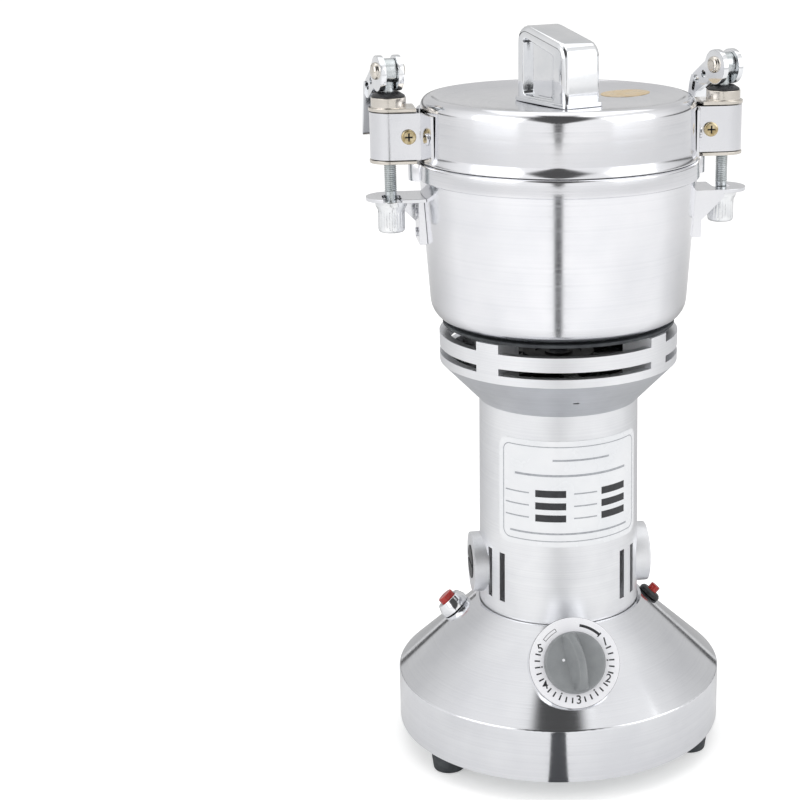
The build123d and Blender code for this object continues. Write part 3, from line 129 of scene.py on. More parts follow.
looks = {
    # 18/8 stainless sheet, deep drawn, then brushed in the lathe: soft reflections with level streaks.
    # Brushing lines are under 0.1 apart; drawn at 0.7 so that they show.
    "polished_steel": dict(light="#f1f1f4", dark="#e4e5e9", metallic=1.0, rough=(0.1, 0.19), grain=0.7,
                           cloud=34, depth=0.0015, turned=True, streak=0.3),
    # Chrome plate on die-cast zinc: brightest of all, with a slight orange peel about 2.5 across.
    "chrome": dict(light="#f2f3f5", dark="#e8eaed", metallic=1.0, rough=(0.05, 0.1), grain=2.5, cloud=14,
                   depth=0.004),
    # Cast aluminium, turned and buffed: greyer than the steel, with long clouds and faint rings.
    # Turning marks are 0.15 apart; drawn at 0.8.
    "cast_aluminium": dict(light="#e8e9ec", dark="#dcdde1", metallic=1.0, rough=(0.08, 0.15), grain=0.8,
                           cloud=32, depth=0.002, turned=True, streak=0.3),
    # Turned aluminium: tool marks 0.2 apart, drawn at 0.5.
    "machined_aluminium": dict(light="#d9dadc", dark="#cccdd0", metallic=1.0, rough=(0.25, 0.38), grain=0.5,
                               cloud=20, depth=0.01, turned=True),
    # Zinc-plated steel: bluish grey, satin, slightly patchy.
    "zinc_steel": dict(light="#d2d6d8", dark="#bfc5c6", metallic=1.0, rough=(0.2, 0.36), grain=0.7, cloud=6,
                       depth=0.006),
    # Satin nickel plate: warmer than chrome.
    "nickel": dict(light="#e6e0d8", dark="#d8d2c8", metallic=1.0, rough=(0.12, 0.22), grain=0.8, cloud=9,
                   depth=0.004),
    # Brass-plated screws: yellow, a little tarnished in the hollows.
    "brass": dict(light="#ddcfae", dark="#a89468", metallic=1.0, rough=(0.16, 0.32), grain=0.6, cloud=3,
                  depth=0.006),
    # Enamelled copper wire, 0.8 thick, wound in layers.
    "copper": dict(light="#b8632f", dark="#8e4320", metallic=1.0, rough=(0.22, 0.36), grain=0.8, cloud=8,
                   depth=0.15, stretch=(1, 1, 0.15)),
    # Stack of 0.5 steel sheets: the edges show as fine level lines.
    "lamination": dict(light="#8b8f95", dark="#666a70", metallic=1.0, rough=(0.35, 0.55), grain=0.5, cloud=12,
                       depth=0.05, stretch=(0.02, 0.02, 1)),
    # Ground bearing steel.
    "bearing_steel": dict(light="#c3c6ca", dark="#b2b5ba", metallic=1.0, rough=(0.14, 0.26), grain=0.4,
                          cloud=7, depth=0.003),
    # Pressed graphite.
    "carbon": dict(light="#37393c", dark="#242527", rough=(0.45, 0.62), grain=0.5, cloud=3, depth=0.02),
    # Moulded ABS, spark-eroded mould skin of about 0.3.
    "black_plastic": dict(light="#2a2b2e", dark="#1b1c1e", rough=(0.32, 0.46), grain=0.6, cloud=9,
                          depth=0.01),
    "grey_plastic": dict(light="#8f9294", dark="#838688", rough=(0.3, 0.42), grain=0.5, cloud=8, depth=0.008),
    "white_plastic": dict(light="#f5f5f8", dark="#eeeef2", rough=(0.24, 0.36), grain=0.7, cloud=12,
                          depth=0.004),
    # Red acetal, glossy from a polished mould.
    "red_plastic": dict(light="#b92c22", dark="#a21c17", rough=(0.14, 0.26), grain=0.8, cloud=5, depth=0.004,
                        sockets={"Coat Weight": 0.3, "Coat Roughness": 0.1}),
    # Moulded nitrile rubber: dull, with a grey bloom.
    "black_rubber": dict(light="#45494c", dark="#33363a", rough=(0.6, 0.78), grain=0.9, cloud=7, depth=0.03),
    # Pressed silicone, milky.
    "silicone": dict(light="#e6e7e8", dark="#dadbdd", rough=(0.38, 0.5), grain=0.8, cloud=10, depth=0.008),
    # Cast aluminium, sandblasted fine and brushed level round the column: satin, it only blurs the room.
    # Blasting marks of 0.2, drawn at 0.5.
    "satin_aluminium": dict(light="#eeeff1", dark="#e1e2e5", metallic=1.0, rough=(0.38, 0.48), grain=0.5,
                            cloud=26, depth=0.005, turned=True, streak=0.4),
    # The bell below the ring: the same metal, a little duller, and greyer as painted shade from the ring
    # above it.
    "bell_shade_aluminium": dict(light="#d4d6da", dark="#c5c7cb", metallic=1.0, rough=(0.4, 0.52), grain=0.5,
                           cloud=26, depth=0.008, turned=True, streak=0.4),
    # Barrel-polished plate on the small nuts: softer than the plate on the handle.
    "satin_chrome": dict(light="#f4f5f6", dark="#e9ebed", metallic=1.0, rough=(0.18, 0.26), grain=1.2,
                         cloud=8, depth=0.001),
    # Painted shade: near black on the upper bearing shield and the bearings, which show dark between the
    # slots of the ring.
    "shade_black": dict(light="#1d1e20", dark="#141516", rough=(0.3, 0.45), grain=0.8, cloud=9, depth=0.01),
    # Printed polyester film: white, smooth, with a faint ripple from the hand that laid it on.
    "label_film": dict(light="#f4f5f7", dark="#eceef1", rough=(0.2, 0.3), grain=9, cloud=26, depth=0.05,
                       sockets={"Coat Weight": 0.25, "Coat Roughness": 0.12}),
    # Screen ink on film or plastic: flat, thin enough to break up a little.
    "screen_ink": dict(light="#26272a", dark="#343539", rough=(0.4, 0.55), grain=0.4, cloud=2, depth=0.002),
    "grey_ink": dict(light="#9da0a6", dark="#b1b4b9", rough=(0.4, 0.55), grain=0.4, cloud=2, depth=0.002),
    # Gold foil: soft satin, warm.
    "gold_foil": dict(light="#eed9b6", dark="#e2c797", metallic=0.55, rough=(0.25, 0.36), grain=0.5, cloud=6,
                      depth=0.01),
}
finishes = {name: makeFinish(name, look) for name, look in looks.items()}
print("finishes made:", len(finishes))


# Shaping

def allOf(work):
    return work.verts[:] + work.edges[:] + work.faces[:]


def moveWork(work, x, y, z):
    bmesh.ops.translate(work, verts=work.verts, vec=(x, y, z))


def turnWork(work, degrees, axis="Z"):
    bmesh.ops.rotate(work, verts=work.verts, cent=(0, 0, 0),
                     matrix=Matrix.Rotation(math.radians(degrees), 3, axis))


def placeWork(work, place):
    bmesh.ops.transform(work, matrix=place, verts=work.verts)


def joinWork(work, part):
    # the part is freed once the work holds its shape
    spare = bpy.data.meshes.new("spare")
    part.to_mesh(spare)
    part.free()
    work.from_mesh(spare)
    bpy.data.meshes.remove(spare)


def objectFrom(name, work):
    mesh = bpy.data.meshes.new(name)
    work.to_mesh(mesh)
    work.free()
    holder = bpy.data.objects.new(name, mesh)
    scene.collection.objects.link(holder)
    return holder


def finalMesh(holder):
    # an object's mesh with its modifiers applied, or the mesh of a text
    bpy.context.view_layer.update()
    return bpy.data.meshes.new_from_object(holder.evaluated_get(bpy.context.evaluated_depsgraph_get()))


def roundCorner(work, corner, radius, segments):
    # a corner of a flat outline gets a true radius
    arms = [(edge.other_vert(corner).co - corner.co).normalized() for edge in corner.link_edges]
    offset = radius * math.tan((math.pi - arms[0].angle(arms[1])) / 2)
    bmesh.ops.bevel(work, geom=[corner], offset=offset, segments=segments, profile=0.5, affect="VERTICES",
                    material=-1)


def spinOutline(work, outline, closed=False, steps=144):
    # corners of (radius, height, rounding), spun round Z
    corners = [work.verts.new((x, 0, z)) for x, z, rounding in outline]
    for a, b in list(zip(corners, corners[1:])) + ([(corners[-1], corners[0])] if closed else []):
        work.edges.new((a, b))
    for corner, (x, z, rounding) in zip(corners, outline):
        if rounding:
            roundCorner(work, corner, rounding, segments=7)
    bmesh.ops.spin(work, geom=work.verts[:] + work.edges[:], cent=(0, 0, 0), axis=(0, 0, 1),
                   angle=2 * math.pi, steps=steps, use_merge=True)
    bmesh.ops.remove_doubles(work, verts=work.verts, dist=0.002)
    bmesh.ops.recalc_face_normals(work, faces=work.faces)


def thickenFaces(work, depth):
    # depth is a vector
    made = bmesh.ops.extrude_face_region(work, geom=work.faces[:])
    bmesh.ops.translate(work, verts=[v for v in made["geom"] if isinstance(v, bmesh.types.BMVert)], vec=depth)


def slabFrom(points, rounds, depth):
    # a flat outline in XZ with rounded corners, made thick along Y and centred on it
    work = bmesh.new()
    corners = [work.verts.new((x, 0, z)) for x, z in points]
    work.faces.new(corners)
    for corner, rounding in zip(corners, rounds):
        if rounding:
            roundCorner(work, corner, rounding, segments=8)
    thickenFaces(work, (0, depth, 0))
    moveWork(work, 0, -depth / 2, 0)
    bmesh.ops.recalc_face_normals(work, faces=work.faces)
    return work


def addBlock(work, low, high):
    size, middle = Vector(high) - Vector(low), (Vector(high) + Vector(low)) / 2
    bmesh.ops.create_cube(work, size=1, matrix=Matrix.Translation(middle) @ Matrix.Diagonal((*size, 1)))


def addRod(work, radius, low, high, steps):
    bmesh.ops.create_cone(work, cap_ends=True, segments=steps, radius1=radius, radius2=radius,
                          depth=high - low, matrix=Matrix.Translation((0, 0, (low + high) / 2)))


def addTurned(work, outline, place):
    # a turned part laid along X at its place
    part = bmesh.new()
    spinOutline(part, outline, steps=64)
    turnWork(part, 90, "Y")
    placeWork(part, place)
    joinWork(work, part)


def carve(work, cutter):
    # the cutter is taken out of the work
    holders = [objectFrom("carving", shape) for shape in (work, cutter)]
    cut = holders[0].modifiers.new("cut", "BOOLEAN")
    cut.object = holders[1]
    cut.solver = "EXACT"
    mesh = finalMesh(holders[0])
    result = bmesh.new()
    result.from_mesh(mesh)
    for spare in (holders[0].data, holders[1].data, mesh):
        bpy.data.meshes.remove(spare)
    return result


def roundEdges(work, width, angle=40, segments=3, keep=None):
    sharp = [edge for edge in work.edges
             if len(edge.link_faces) == 2 and edge.calc_face_angle(0) > math.radians(angle)
             and (keep is None or keep(edge))]
    bmesh.ops.bevel(work, geom=sharp, offset=width, segments=segments, profile=0.5, affect="EDGES",
                    clamp_overlap=True, material=-1)


def makePiece(name, work, body, slot, finish=None, others=(), stands=(), sharp=38, scale=mm):
    # a piece wears the finish of its slot where no other is named
    bmesh.ops.scale(work, verts=work.verts, vec=(scale, scale, scale))
    for face in work.faces:
        face.smooth = True
    for edge in work.edges:
        edge.smooth = len(edge.link_faces) == 2 and edge.calc_face_angle(0) < math.radians(sharp)
    piece = objectFrom(name, work)
    for worn in (finish or slot, *others):
        piece.data.materials.append(finishes[worn])
    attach(piece, body)
    if stands:
        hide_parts(*stands)
    return piece


# Soft copies of the nodes

turnedOutlines = {
    "base_shell": [((90, 12), (90, 39.8)), ((90, 41.4), (46.3, 81.5))],
    "motor_housing": [((44.1, 76), (43, 198.4)), ((43, 198.4), (63.8, 219.9)),
                      ((63.8, 219.9), (63.8, 240.5))],
}
softRule = dict(merge=0.000004, flat=0.4, sharp=42, onOutline=0.08)


def turnedShading(mesh, outlines):
    # long flat triangles on a turned outline take the shading of the true round
    normals = [corner.vector.copy() for corner in mesh.corner_normals]
    places = [Vector((v.co.xy.length, v.co.z)) / mm for v in mesh.vertices]
    for a, b in outlines:
        start, run = Vector(a), Vector(b) - Vector(a)
        out = Vector((run.y, -run.x)).normalized()
        if out.x < 0:
            out.negate()
        near = {i for i, place in enumerate(places) if abs((place - start).dot(out)) < softRule["onOutline"]}
        for face in mesh.polygons:
            if near.issuperset(face.vertices) and face.normal.dot(Vector((*face.center.xy, 0))) > 0:
                for loop in face.loop_indices:
                    level = mesh.vertices[mesh.loops[loop].vertex_index].co.xy.normalized() * out.x
                    normals[loop] = Vector((*level, out.y))
    mesh.normals_split_custom_set(normals)


def softCopy(node, slot, width, finish=None):
    # a merged copy with smooth shading and, where it has a width, its edges just broken
    work = bmesh.new()
    work.from_mesh(nodes[node].data)
    bmesh.ops.remove_doubles(work, verts=work.verts, dist=softRule["merge"])
    bmesh.ops.dissolve_limit(work, angle_limit=math.radians(softRule["flat"]), verts=work.verts,
                             edges=work.edges)
    piece = makePiece(node + "_soft", work, nodes[node]["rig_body"], slot, finish=finish, stands=(node,),
                      sharp=softRule["sharp"], scale=1.0)
    if node in turnedOutlines:
        turnedShading(piece.data, turnedOutlines[node])
    if width:
        edges = piece.modifiers.new("brokenEdges", "BEVEL")
        edges.width = width * mm
        edges.segments = 2
        edges.limit_method = "ANGLE"
        edges.angle_limit = math.radians(softRule["sharp"])
        edges.harden_normals = True
    return piece


# Which node wears which finish: each has its slot, and a few wear another finish

nodeFinish = {
    "base_shell": "cast_aluminium", "base_plate": "zinc_steel", "rubber_feet": "black_rubber",
    "foot_screws": "zinc_steel", "motor_housing": "cast_aluminium", "housing_screws": "zinc_steel",
    "brush_holders": "brass", "carbon_brushes": "carbon", "brush_springs": "bearing_steel",
    "brush_caps": "black_plastic", "stator_core": "lamination", "field_coils": "copper",
    "end_shield": "machined_aluminium", "shield_screws": "zinc_steel", "bearings": "bearing_steel",
    "motor_shaft": "bearing_steel", "armature_core": "lamination", "armature_windings": "copper",
    "commutator": "copper", "cooling_fan": "black_plastic", "lower_blade": "polished_steel",
    "upper_blade": "polished_steel", "blade_spacer": "polished_steel", "blade_nut": "polished_steel",
    "bowl_gasket": "black_rubber", "bowl_screws": "polished_steel", "shaft_seal": "black_plastic",
    "bowl_catches": "polished_steel", "catch_rivets": "polished_steel", "lid_seal": "silicone",
    "handle_screws": "zinc_steel", "lid_clips": "polished_steel", "clip_screws": "brass",
    "clip_rivets": "polished_steel", "clamp_guides": "nickel", "clamp_washers": "black_plastic",
    "stud_left": "zinc_steel", "stud_right": "zinc_steel", "cam_lever_left": "chrome",
    "cam_lever_right": "chrome", "lever_pin_left": "nickel", "lever_pin_right": "nickel",
    "timer_body": "black_plastic", "timer_nut": "zinc_steel", "switch_bezel": "chrome",
    "switch_body": "black_plastic", "start_button": "red_plastic", "overload_breaker": "black_plastic",
    "reset_button": "red_plastic", "cord_gland": "black_rubber", "terminal_block": "white_plastic",
    "capacitor": "white_plastic",
}
softNodes = {
    "base_shell": 0.0, "motor_housing": 0.0, "rubber_feet": 0.5, "brush_caps": 0.3, "bowl_catches": 0.25,
    "catch_rivets": 0.3, "lid_clips": 0.25, "clip_screws": 0.0, "clip_rivets": 0.3, "clamp_guides": 0.3,
    "clamp_washers": 0.3, "stud_left": 0.2, "stud_right": 0.2, "cam_lever_left": 0.3, "cam_lever_right": 0.3,
    "lever_pin_left": 0.3, "lever_pin_right": 0.3, "switch_bezel": 0.3, "start_button": 0.3,
    "overload_breaker": 0.3, "reset_button": 0.4, "cord_gland": 0.6, "housing_screws": 0.2,
    "foot_screws": 0.2,
}
# the bearing shield and bearings wear the near black of painted shade
otherFinish = {"motor_housing": "satin_aluminium", "end_shield": "shade_black", "bearings": "shade_black"}
bellShadeZone = dict(low=198.8, high=219.6, inside=43.1)  # the housing's outside between column and ring
softened = {}
for node, slot in nodeFinish.items():
    if node in softNodes:
        softened[node] = softCopy(node, slot, softNodes[node], finish=otherFinish.get(node))
        continue
    for holder in nodes[node].material_slots:
        holder.material = finishes[otherFinish.get(node, slot)]
# painted shade: the bell's faces between column and ring take the greyer copy of the finish
housing = softened["motor_housing"].data
housing.materials.append(finishes["bell_shade_aluminium"])
for face in housing.polygons:
    reach, level = face.center.xy.length / mm, face.center.z / mm
    if reach > bellShadeZone["inside"] and bellShadeZone["low"] < level < bellShadeZone["high"]:
        face.material_index = 1
print("nodes dressed:", len(nodeFinish), "of them softened:", len(softened))


# Bowl, with an ear on each side for its fork

bowlShape = dict(hub=12.1, low=242, corner=12, bottomRadius=67.4, topRadius=72.6, rimLow=318.3, rimStep=0.6,
                 rimFold=0.4, rimRadius=74.2, rimTopRadius=73.8, rimRound=1.6, top=328, lip=0.5, wall=1.2)
earShape = dict(reach=78.7, width=14, drop=0.5, height=9, seat=0.3, edge=0.7, steps=40)


def makeBowl(shape, lug):
    work = bmesh.new()
    wall, hub, low, top, rimLow = (shape[key] for key in ("wall", "hub", "low", "top", "rimLow"))
    inner = shape["topRadius"] - wall
    spinOutline(work, [
        (hub, low, 0), (shape["bottomRadius"], low, shape["corner"]),
        (shape["topRadius"], rimLow, shape["rimFold"]),
        (shape["rimRadius"], rimLow + shape["rimStep"], shape["lip"]),
        (shape["rimTopRadius"], top, shape["rimRound"]), (inner, top, shape["lip"]), (inner, rimLow, 0),
        (shape["bottomRadius"] - wall, low + wall, shape["corner"] - wall),
        (hub, low + wall, 0)], closed=True)
    half, earLow = lug["width"] / 2, rimLow - lug["drop"]
    seat = shape["topRadius"] + lug["seat"]
    for turned in (180, 0):
        ear = bmesh.new()
        addRod(ear, half, earLow, earLow + lug["height"], lug["steps"])
        moveWork(ear, lug["reach"] - half, 0, 0)
        cut = bmesh.ops.bisect_plane(ear, geom=allOf(ear), plane_co=(seat, 0, 0), plane_no=(-1, 0, 0),
                                     clear_outer=True)
        ends = [item for item in cut["geom_cut"] if isinstance(item, bmesh.types.BMEdge)]
        bmesh.ops.holes_fill(ear, edges=ends)
        roundEdges(ear, lug["edge"],
                   keep=lambda edge: all(v.co.x > seat + lug["seat"] for v in edge.verts))
        turnWork(ear, turned)
        bmesh.ops.recalc_face_normals(ear, faces=ear.faces)
        joinWork(work, ear)
    makePiece("bowlDrawn", work, "base", "polished_steel", stands=("bowl",))


makeBowl(bowlShape, earShape)

# Lid: the dish is shallow, its lip rises to a crest inside the rounded edge

lidShape = dict(low=328.35, top=360.2, dish=355.0, dishRise=2.34, dishRadius=60, dishSteps=6, crest=66,
                crestRound=2.5, edgeRadius=71.5, edgeRound=5.5, foot=72.1, flareZ=332.2, flare=73.3,
                flareRound=9, lip=0.7, wall=1.2, innerCrest=65.6, innerCrestRound=2, innerFlareRound=1.5)


def dishHeight(shape, reach):
    return shape["dish"] + shape["dishRise"] * (reach / shape["dishRadius"]) ** 2


def makeLid(shape):
    work = bmesh.new()
    wall, low, top, foot, flare = (shape[key] for key in ("wall", "low", "top", "foot", "flare"))
    reaches = [shape["dishRadius"] * step / shape["dishSteps"] for step in range(shape["dishSteps"] + 1)]
    outside = [(reach, dishHeight(shape, reach), 0) for reach in reaches]
    outside += [(shape["crest"], top, shape["crestRound"]), (shape["edgeRadius"], top, shape["edgeRound"]),
                (foot, shape["flareZ"], shape["flareRound"]), (flare, low + shape["lip"], 0), (flare, low, 0)]
    inside = [(flare - wall, low, 0), (foot - wall, shape["flareZ"], shape["innerFlareRound"]),
              (shape["edgeRadius"] - wall, top - wall, shape["edgeRound"] - wall),
              (shape["innerCrest"], top - wall, shape["innerCrestRound"])]
    inside += [(reach, dishHeight(shape, reach) - wall, 0) for reach in reversed(reaches)]
    spinOutline(work, outside + inside)
    makePiece("lidDrawn", work, "lid", "polished_steel", stands=("lid_shell",), sharp=50)


makeLid(lidShape)

# Lid handle, turned 25 degrees to the front: a grip with a recess in each side, on a low foot

handleShape = dict(length=45, width=23, base=355.45, near=31.4, far=41.25, nearLean=1, farLean=0.5,
                   nearRound=8, farRound=9, edge=3.2, azimuth=25)
recessShape = dict(near=10, far=7, low=3.5, nearTop=6, farTop=8, corner=2.5, depth=3.5, slope=7,
                   rim=0.8, rimAngle=15, rimNear=4, slack=0.3, flush=0.05)
footShape = dict(height=2.4, margin=0.8, corner=2.4, edge=0.5)


def makeGrip(shape, recess):
    half, side, low = shape["length"] / 2, shape["width"] / 2, shape["base"]
    nearTop, farTop = low + shape["near"], low + shape["far"]
    grip = slabFrom([(-half, low), (half, low), (half - shape["nearLean"], nearTop),
                     (-half + shape["farLean"], farTop)],
                    (0, 0, shape["nearRound"], shape["farRound"]), shape["width"])
    roundEdges(grip, shape["edge"], segments=8, keep=lambda edge: max(v.co.z for v in edge.verts) > low + 1)
    far, near, floor = recess["far"] - half, half - recess["near"], low + recess["low"]
    farCorner, nearCorner = farTop - recess["farTop"], nearTop - recess["nearTop"]
    fall = (farCorner - nearCorner) / (near - far)
    for way in (-1, 1):
        panel = slabFrom([(far, floor), (near, floor), (near, nearCorner), (far, farCorner)],
                         (recess["corner"],) * 4, 2 * recess["depth"])
        for vert in panel.verts:  # the near wall of the recess slopes gently, its top stays flat
            if vert.co.x > 0:
                shift = math.copysign(recess["slope"], vert.co.y * way)
                vert.co.x += shift
                if vert.co.z > low + shape["near"] / 2:
                    vert.co.z -= fall * shift
        moveWork(panel, 0, way * side, 0)
        grip = carve(grip, panel)

    def onRim(vert):
        return (abs(abs(vert.co.y) - side) < recess["flush"]
                and far - recess["slack"] < vert.co.x < half - recess["rimNear"]
                and vert.co.z < farCorner + recess["slack"])

    rim = [edge for edge in grip.edges if len(edge.link_faces) == 2 and all(map(onRim, edge.verts))
           and edge.calc_face_angle(0) > math.radians(recess["rimAngle"])]
    bmesh.ops.bevel(grip, geom=rim, offset=recess["rim"], segments=4, profile=0.5, affect="EDGES",
                    material=-1)
    return grip


def makeFoot(shape, grip):
    work = bmesh.new()
    reach, side = grip["length"] / 2 + shape["margin"], grip["width"] / 2 + shape["margin"]
    addBlock(work, (-reach, -side, grip["base"]), (reach, side, grip["base"] + shape["height"]))
    upright = [edge for edge in work.edges if abs(edge.verts[0].co.z - edge.verts[1].co.z) > 1]
    bmesh.ops.bevel(work, geom=upright, offset=shape["corner"], segments=5, profile=0.5, affect="EDGES",
                    material=-1)
    roundEdges(work, shape["edge"], segments=2)
    return work


for name, work, sharp in (("handleGrip", makeGrip(handleShape, recessShape), 24),
                          ("handleFoot", makeFoot(footShape, handleShape), 45)):
    turnWork(work, handleShape["azimuth"] - 90)
    makePiece(name, work, "lid", "chrome", stands=("lid_handle",), sharp=sharp)
print("bowl, lid and handle made")

# Brush bosses: turned sleeves that close over the cast ones, one on each side of the column

bossShape = dict(height=104, radius=16.55, seat=9.4, inner=41, face=49.14, edge=0.7, seatEdge=0.2, steps=96)


def makeBosses(shape):
    seat, radius, inner, face = (shape[key] for key in ("seat", "radius", "inner", "face"))
    for side, quarter in (("left", -90), ("right", 90)):
        work = bmesh.new()
        spinOutline(work, [(seat, inner, 0), (radius, inner, 0), (radius, face, shape["edge"]),
                           (seat, face, shape["seatEdge"])], closed=True, steps=shape["steps"])
        turnWork(work, quarter, "Y")
        moveWork(work, 0, 0, shape["height"])
        makePiece("brushBoss_" + side, work, "base", "cast_aluminium", finish="satin_aluminium")


makeBosses(bossShape)

# Sticker: a plain gold disc on the dish, right of the handle

stickerShape = dict(place=(40.5, 24.5), turned=-10, across=13.2, deep=11.5, thick=0.08, lift=0.06, ring=0.5,
                    margin=1.2)


def makeSticker(shape, lid):
    work = bmesh.new()
    bmesh.ops.create_circle(work, cap_ends=True, cap_tris=True, segments=64, radius=1)
    bmesh.ops.scale(work, verts=work.verts, vec=(shape["across"], shape["deep"], 1))
    bmesh.ops.inset_region(work, faces=work.faces[:], thickness=shape["margin"])
    core = [face for face in work.faces if all(len(edge.link_faces) == 2 for edge in face.edges)]
    for face in bmesh.ops.inset_region(work, faces=core, thickness=shape["ring"])["faces"]:
        face.material_index = 1
    thickenFaces(work, (0, 0, shape["thick"]))
    turnWork(work, shape["turned"])
    moveWork(work, *shape["place"], 0)
    for vert in work.verts:
        vert.co.z += dishHeight(lid, vert.co.xy.length) + shape["lift"]
    bmesh.ops.recalc_face_normals(work, faces=work.faces)
    makePiece("lidSticker", work, "lid", "brass", finish="gold_foil", others=("brass",))


makeSticker(stickerShape, lidShape)

# Clamps: rolled thread on the studs, straight knurl on the nuts, cams and pin heads on the levers

threadShape = dict(low=311.5, high=327.6, pitch=1.0, root=2.75, crest=3.28, flank=0.48, steps=20)
nutShape = dict(low=291, top=307.5, radius=7, footRound=1.8, footHeight=4, cone=2.2, flangeRadius=8.25,
                flangeHeight=2.4, flangeEdge=0.5, bore=3.12, floor=2.5, knurls=22, knurlDepth=0.35,
                knurlEnd=1, skin=0.3)
leverShape = dict(pinZ=373.85, camRadius=9.04, offset=1.2, thickness=2.9, spacing=6.4, cover=0.03, edge=0.45,
                  headRadius=4.42, headHeight=2.38, headSunk=0.3, headRound=2.1)
# the cross of painted shade in each clip screw's recess
crossShadeShape = dict(height=341.4, inset=9, face=-11.0, arm=1.9, slot=0.42, proud=0.12, sunk=0.05)
clampPlaces = (("left", -88, 12), ("right", 88, 20))  # side, x, and the turn of its lever in degrees


def makeThread(shape, side, x):
    work = bmesh.new()
    pitch, flank = shape["pitch"], shape["flank"] * shape["pitch"]
    section = ((shape["root"], 0, -flank), (shape["crest"], 0, 0), (shape["root"], 0, flank))
    work.faces.new([work.verts.new(corner) for corner in section])
    turns = int((shape["high"] - shape["low"]) / pitch) - 1
    bmesh.ops.spin(work, geom=allOf(work), cent=(0, 0, 0), axis=(0, 0, 1),
                   dvec=(0, 0, pitch / shape["steps"]), angle=2 * math.pi * turns,
                   steps=shape["steps"] * turns)
    moveWork(work, x, 0, shape["low"] + pitch / 2)
    bmesh.ops.remove_doubles(work, verts=work.verts, dist=0.001)
    bmesh.ops.recalc_face_normals(work, faces=work.faces)
    makePiece("studThread_" + side, work, "stud_" + side, "zinc_steel", sharp=60)


def makeNut(shape, side, x):
    work = bmesh.new()
    radius, flange, bore = shape["radius"], shape["flangeRadius"], shape["bore"]
    low, floor, top = shape["low"], shape["low"] + shape["floor"], shape["top"]
    neck, flangeLow = top - 2 * shape["flangeHeight"], top - shape["flangeHeight"]
    steps = 4 * shape["knurls"]
    spinOutline(work, [(0, low, 0), (radius, low, shape["footRound"]), (radius, low + shape["footHeight"], 0),
                       (radius, neck - shape["cone"], 0), (radius, neck, 0),
                       (flange, flangeLow, shape["flangeEdge"]), (flange, top, shape["flangeEdge"]),
                       (bore, top, 0), (bore, floor, 0), (0, floor, 0)], steps=steps)
    for vert in work.verts:
        ridge = round(math.atan2(vert.co.y, vert.co.x) / (2 * math.pi) * steps)
        outer = vert.co.xy.length > radius - shape["skin"]
        if ridge % 4 == 0 and outer and floor < vert.co.z < neck - shape["knurlEnd"]:
            vert.co.xy *= 1 - shape["knurlDepth"] / radius
    moveWork(work, x, 0, 0)
    makePiece("nutKnurled_" + side, work, "nut_" + side, "chrome", finish="satin_chrome",
              stands=("knurled_nut_" + side,), sharp=30)


def makeCams(shape, side, x, turn):
    # full round cam discs with broken edges, and the domed heads of the pin
    place = Matrix.Translation((x, 0, shape["pinZ"])) @ Matrix.Rotation(math.radians(turn), 4, "Z")
    cams, heads = bmesh.new(), bmesh.new()
    near = shape["spacing"] / 2 - shape["cover"]
    far = shape["spacing"] / 2 + shape["thickness"] + shape["cover"]
    low, top = far - shape["headSunk"], far + shape["headHeight"]
    radius, dome, edge = shape["camRadius"], shape["headRadius"], shape["edge"]
    for way in (0, math.pi):
        turned = place @ Matrix.Rotation(way, 4, "Z")
        addTurned(cams, [(0, near, 0), (radius, near, edge), (radius, far, edge), (0, far, 0)],
                  turned @ Matrix.Translation((0, 0, -shape["offset"])))
        addTurned(heads, [(0, low, 0), (dome, low, 0), (dome, top, shape["headRound"]), (0, top, 0)], turned)
    makePiece("camDiscs_" + side, cams, "lever_" + side, "chrome")
    makePiece("pinHeads_" + side, heads, "lever_" + side, "nickel")


def makeCross(shape, side, x):
    # painted shade: a near-black cross standing in for the shade in the cross recess of the clip's screw
    work = bmesh.new()
    spot, face, height = x - math.copysign(shape["inset"], x), shape["face"], shape["height"]
    for half, rise in ((shape["arm"], shape["slot"]), (shape["slot"], shape["arm"])):
        addBlock(work, (spot - half, face - shape["proud"], height - rise),
                 (spot + half, face + shape["sunk"], height + rise))
    makePiece("screwRecessShade_" + side, work, "lid", "black_plastic", finish="shade_black")


for side, x, turn in clampPlaces:
    makeThread(threadShape, side, x)
    makeNut(nutShape, side, x)
    makeCams(leverShape, side, x, turn)
    makeCross(crossShadeShape, side, x)
print("clamp details made")

# Timer: dial, its print and the knob, all in the dial's own plane

timerShape = dict(azimuth=-3, lift=30, origin=(-3.6086, -68.8555, 70.5298))
dialShape = dict(low=0.4, top=1.6, radius=23.9, bush=5.0, edge=0.5, backEdge=0.2, steps=120)
# ticks are (inner, outer, half their angle) and bars (inner, outer, start, end, steps), from the ring
printShape = dict(ring=19.6, low=0.01, high=0.05, digitHeight=4.5, capital=0.72, thick=0.02, bold=0.05,
                  digitLean=(12, -18, 0, 8, 10), step=59, gaps=6, tick=(-1.3, 1.6, 1.1),
                  halfTick=(-2.5, -1.7, 1.3),
                  bars=((-0.5, 0.9, 11, 44, 8), (-1.3, 1.5, 44, 46, 1), (-0.9, -0.65, -51, -27, 6),
                        (0.75, 1.0, -51, -27, 6), (-0.9, 1.0, -51, -50.2, 6), (-0.9, 1.0, -27.8, -27, 6)))
knobShape = dict(radius=16.5, low=2.2, lowEdge=0.3, lean=0.6, shoulder=0.4, shoulderRound=1.3, flat=6,
                 top=6.4, steps=96)
gripShape = dict(top=13.2, crown=1.2, width=10.5, margin=1.4, sunk=2, cuts=11, bow=2.6, bowStart=-1.6,
                 left=-0.9, right=3.6, droop=3.4, waist=0.16, edge=0.9, turned=10.8)
# the white dot on the knob's top is a painted highlight
glintDotShape = dict(radius=0.75, place=(-6.3, 1.2), sunk=0.9, proud=0.06, edge=0.04, steps=24)


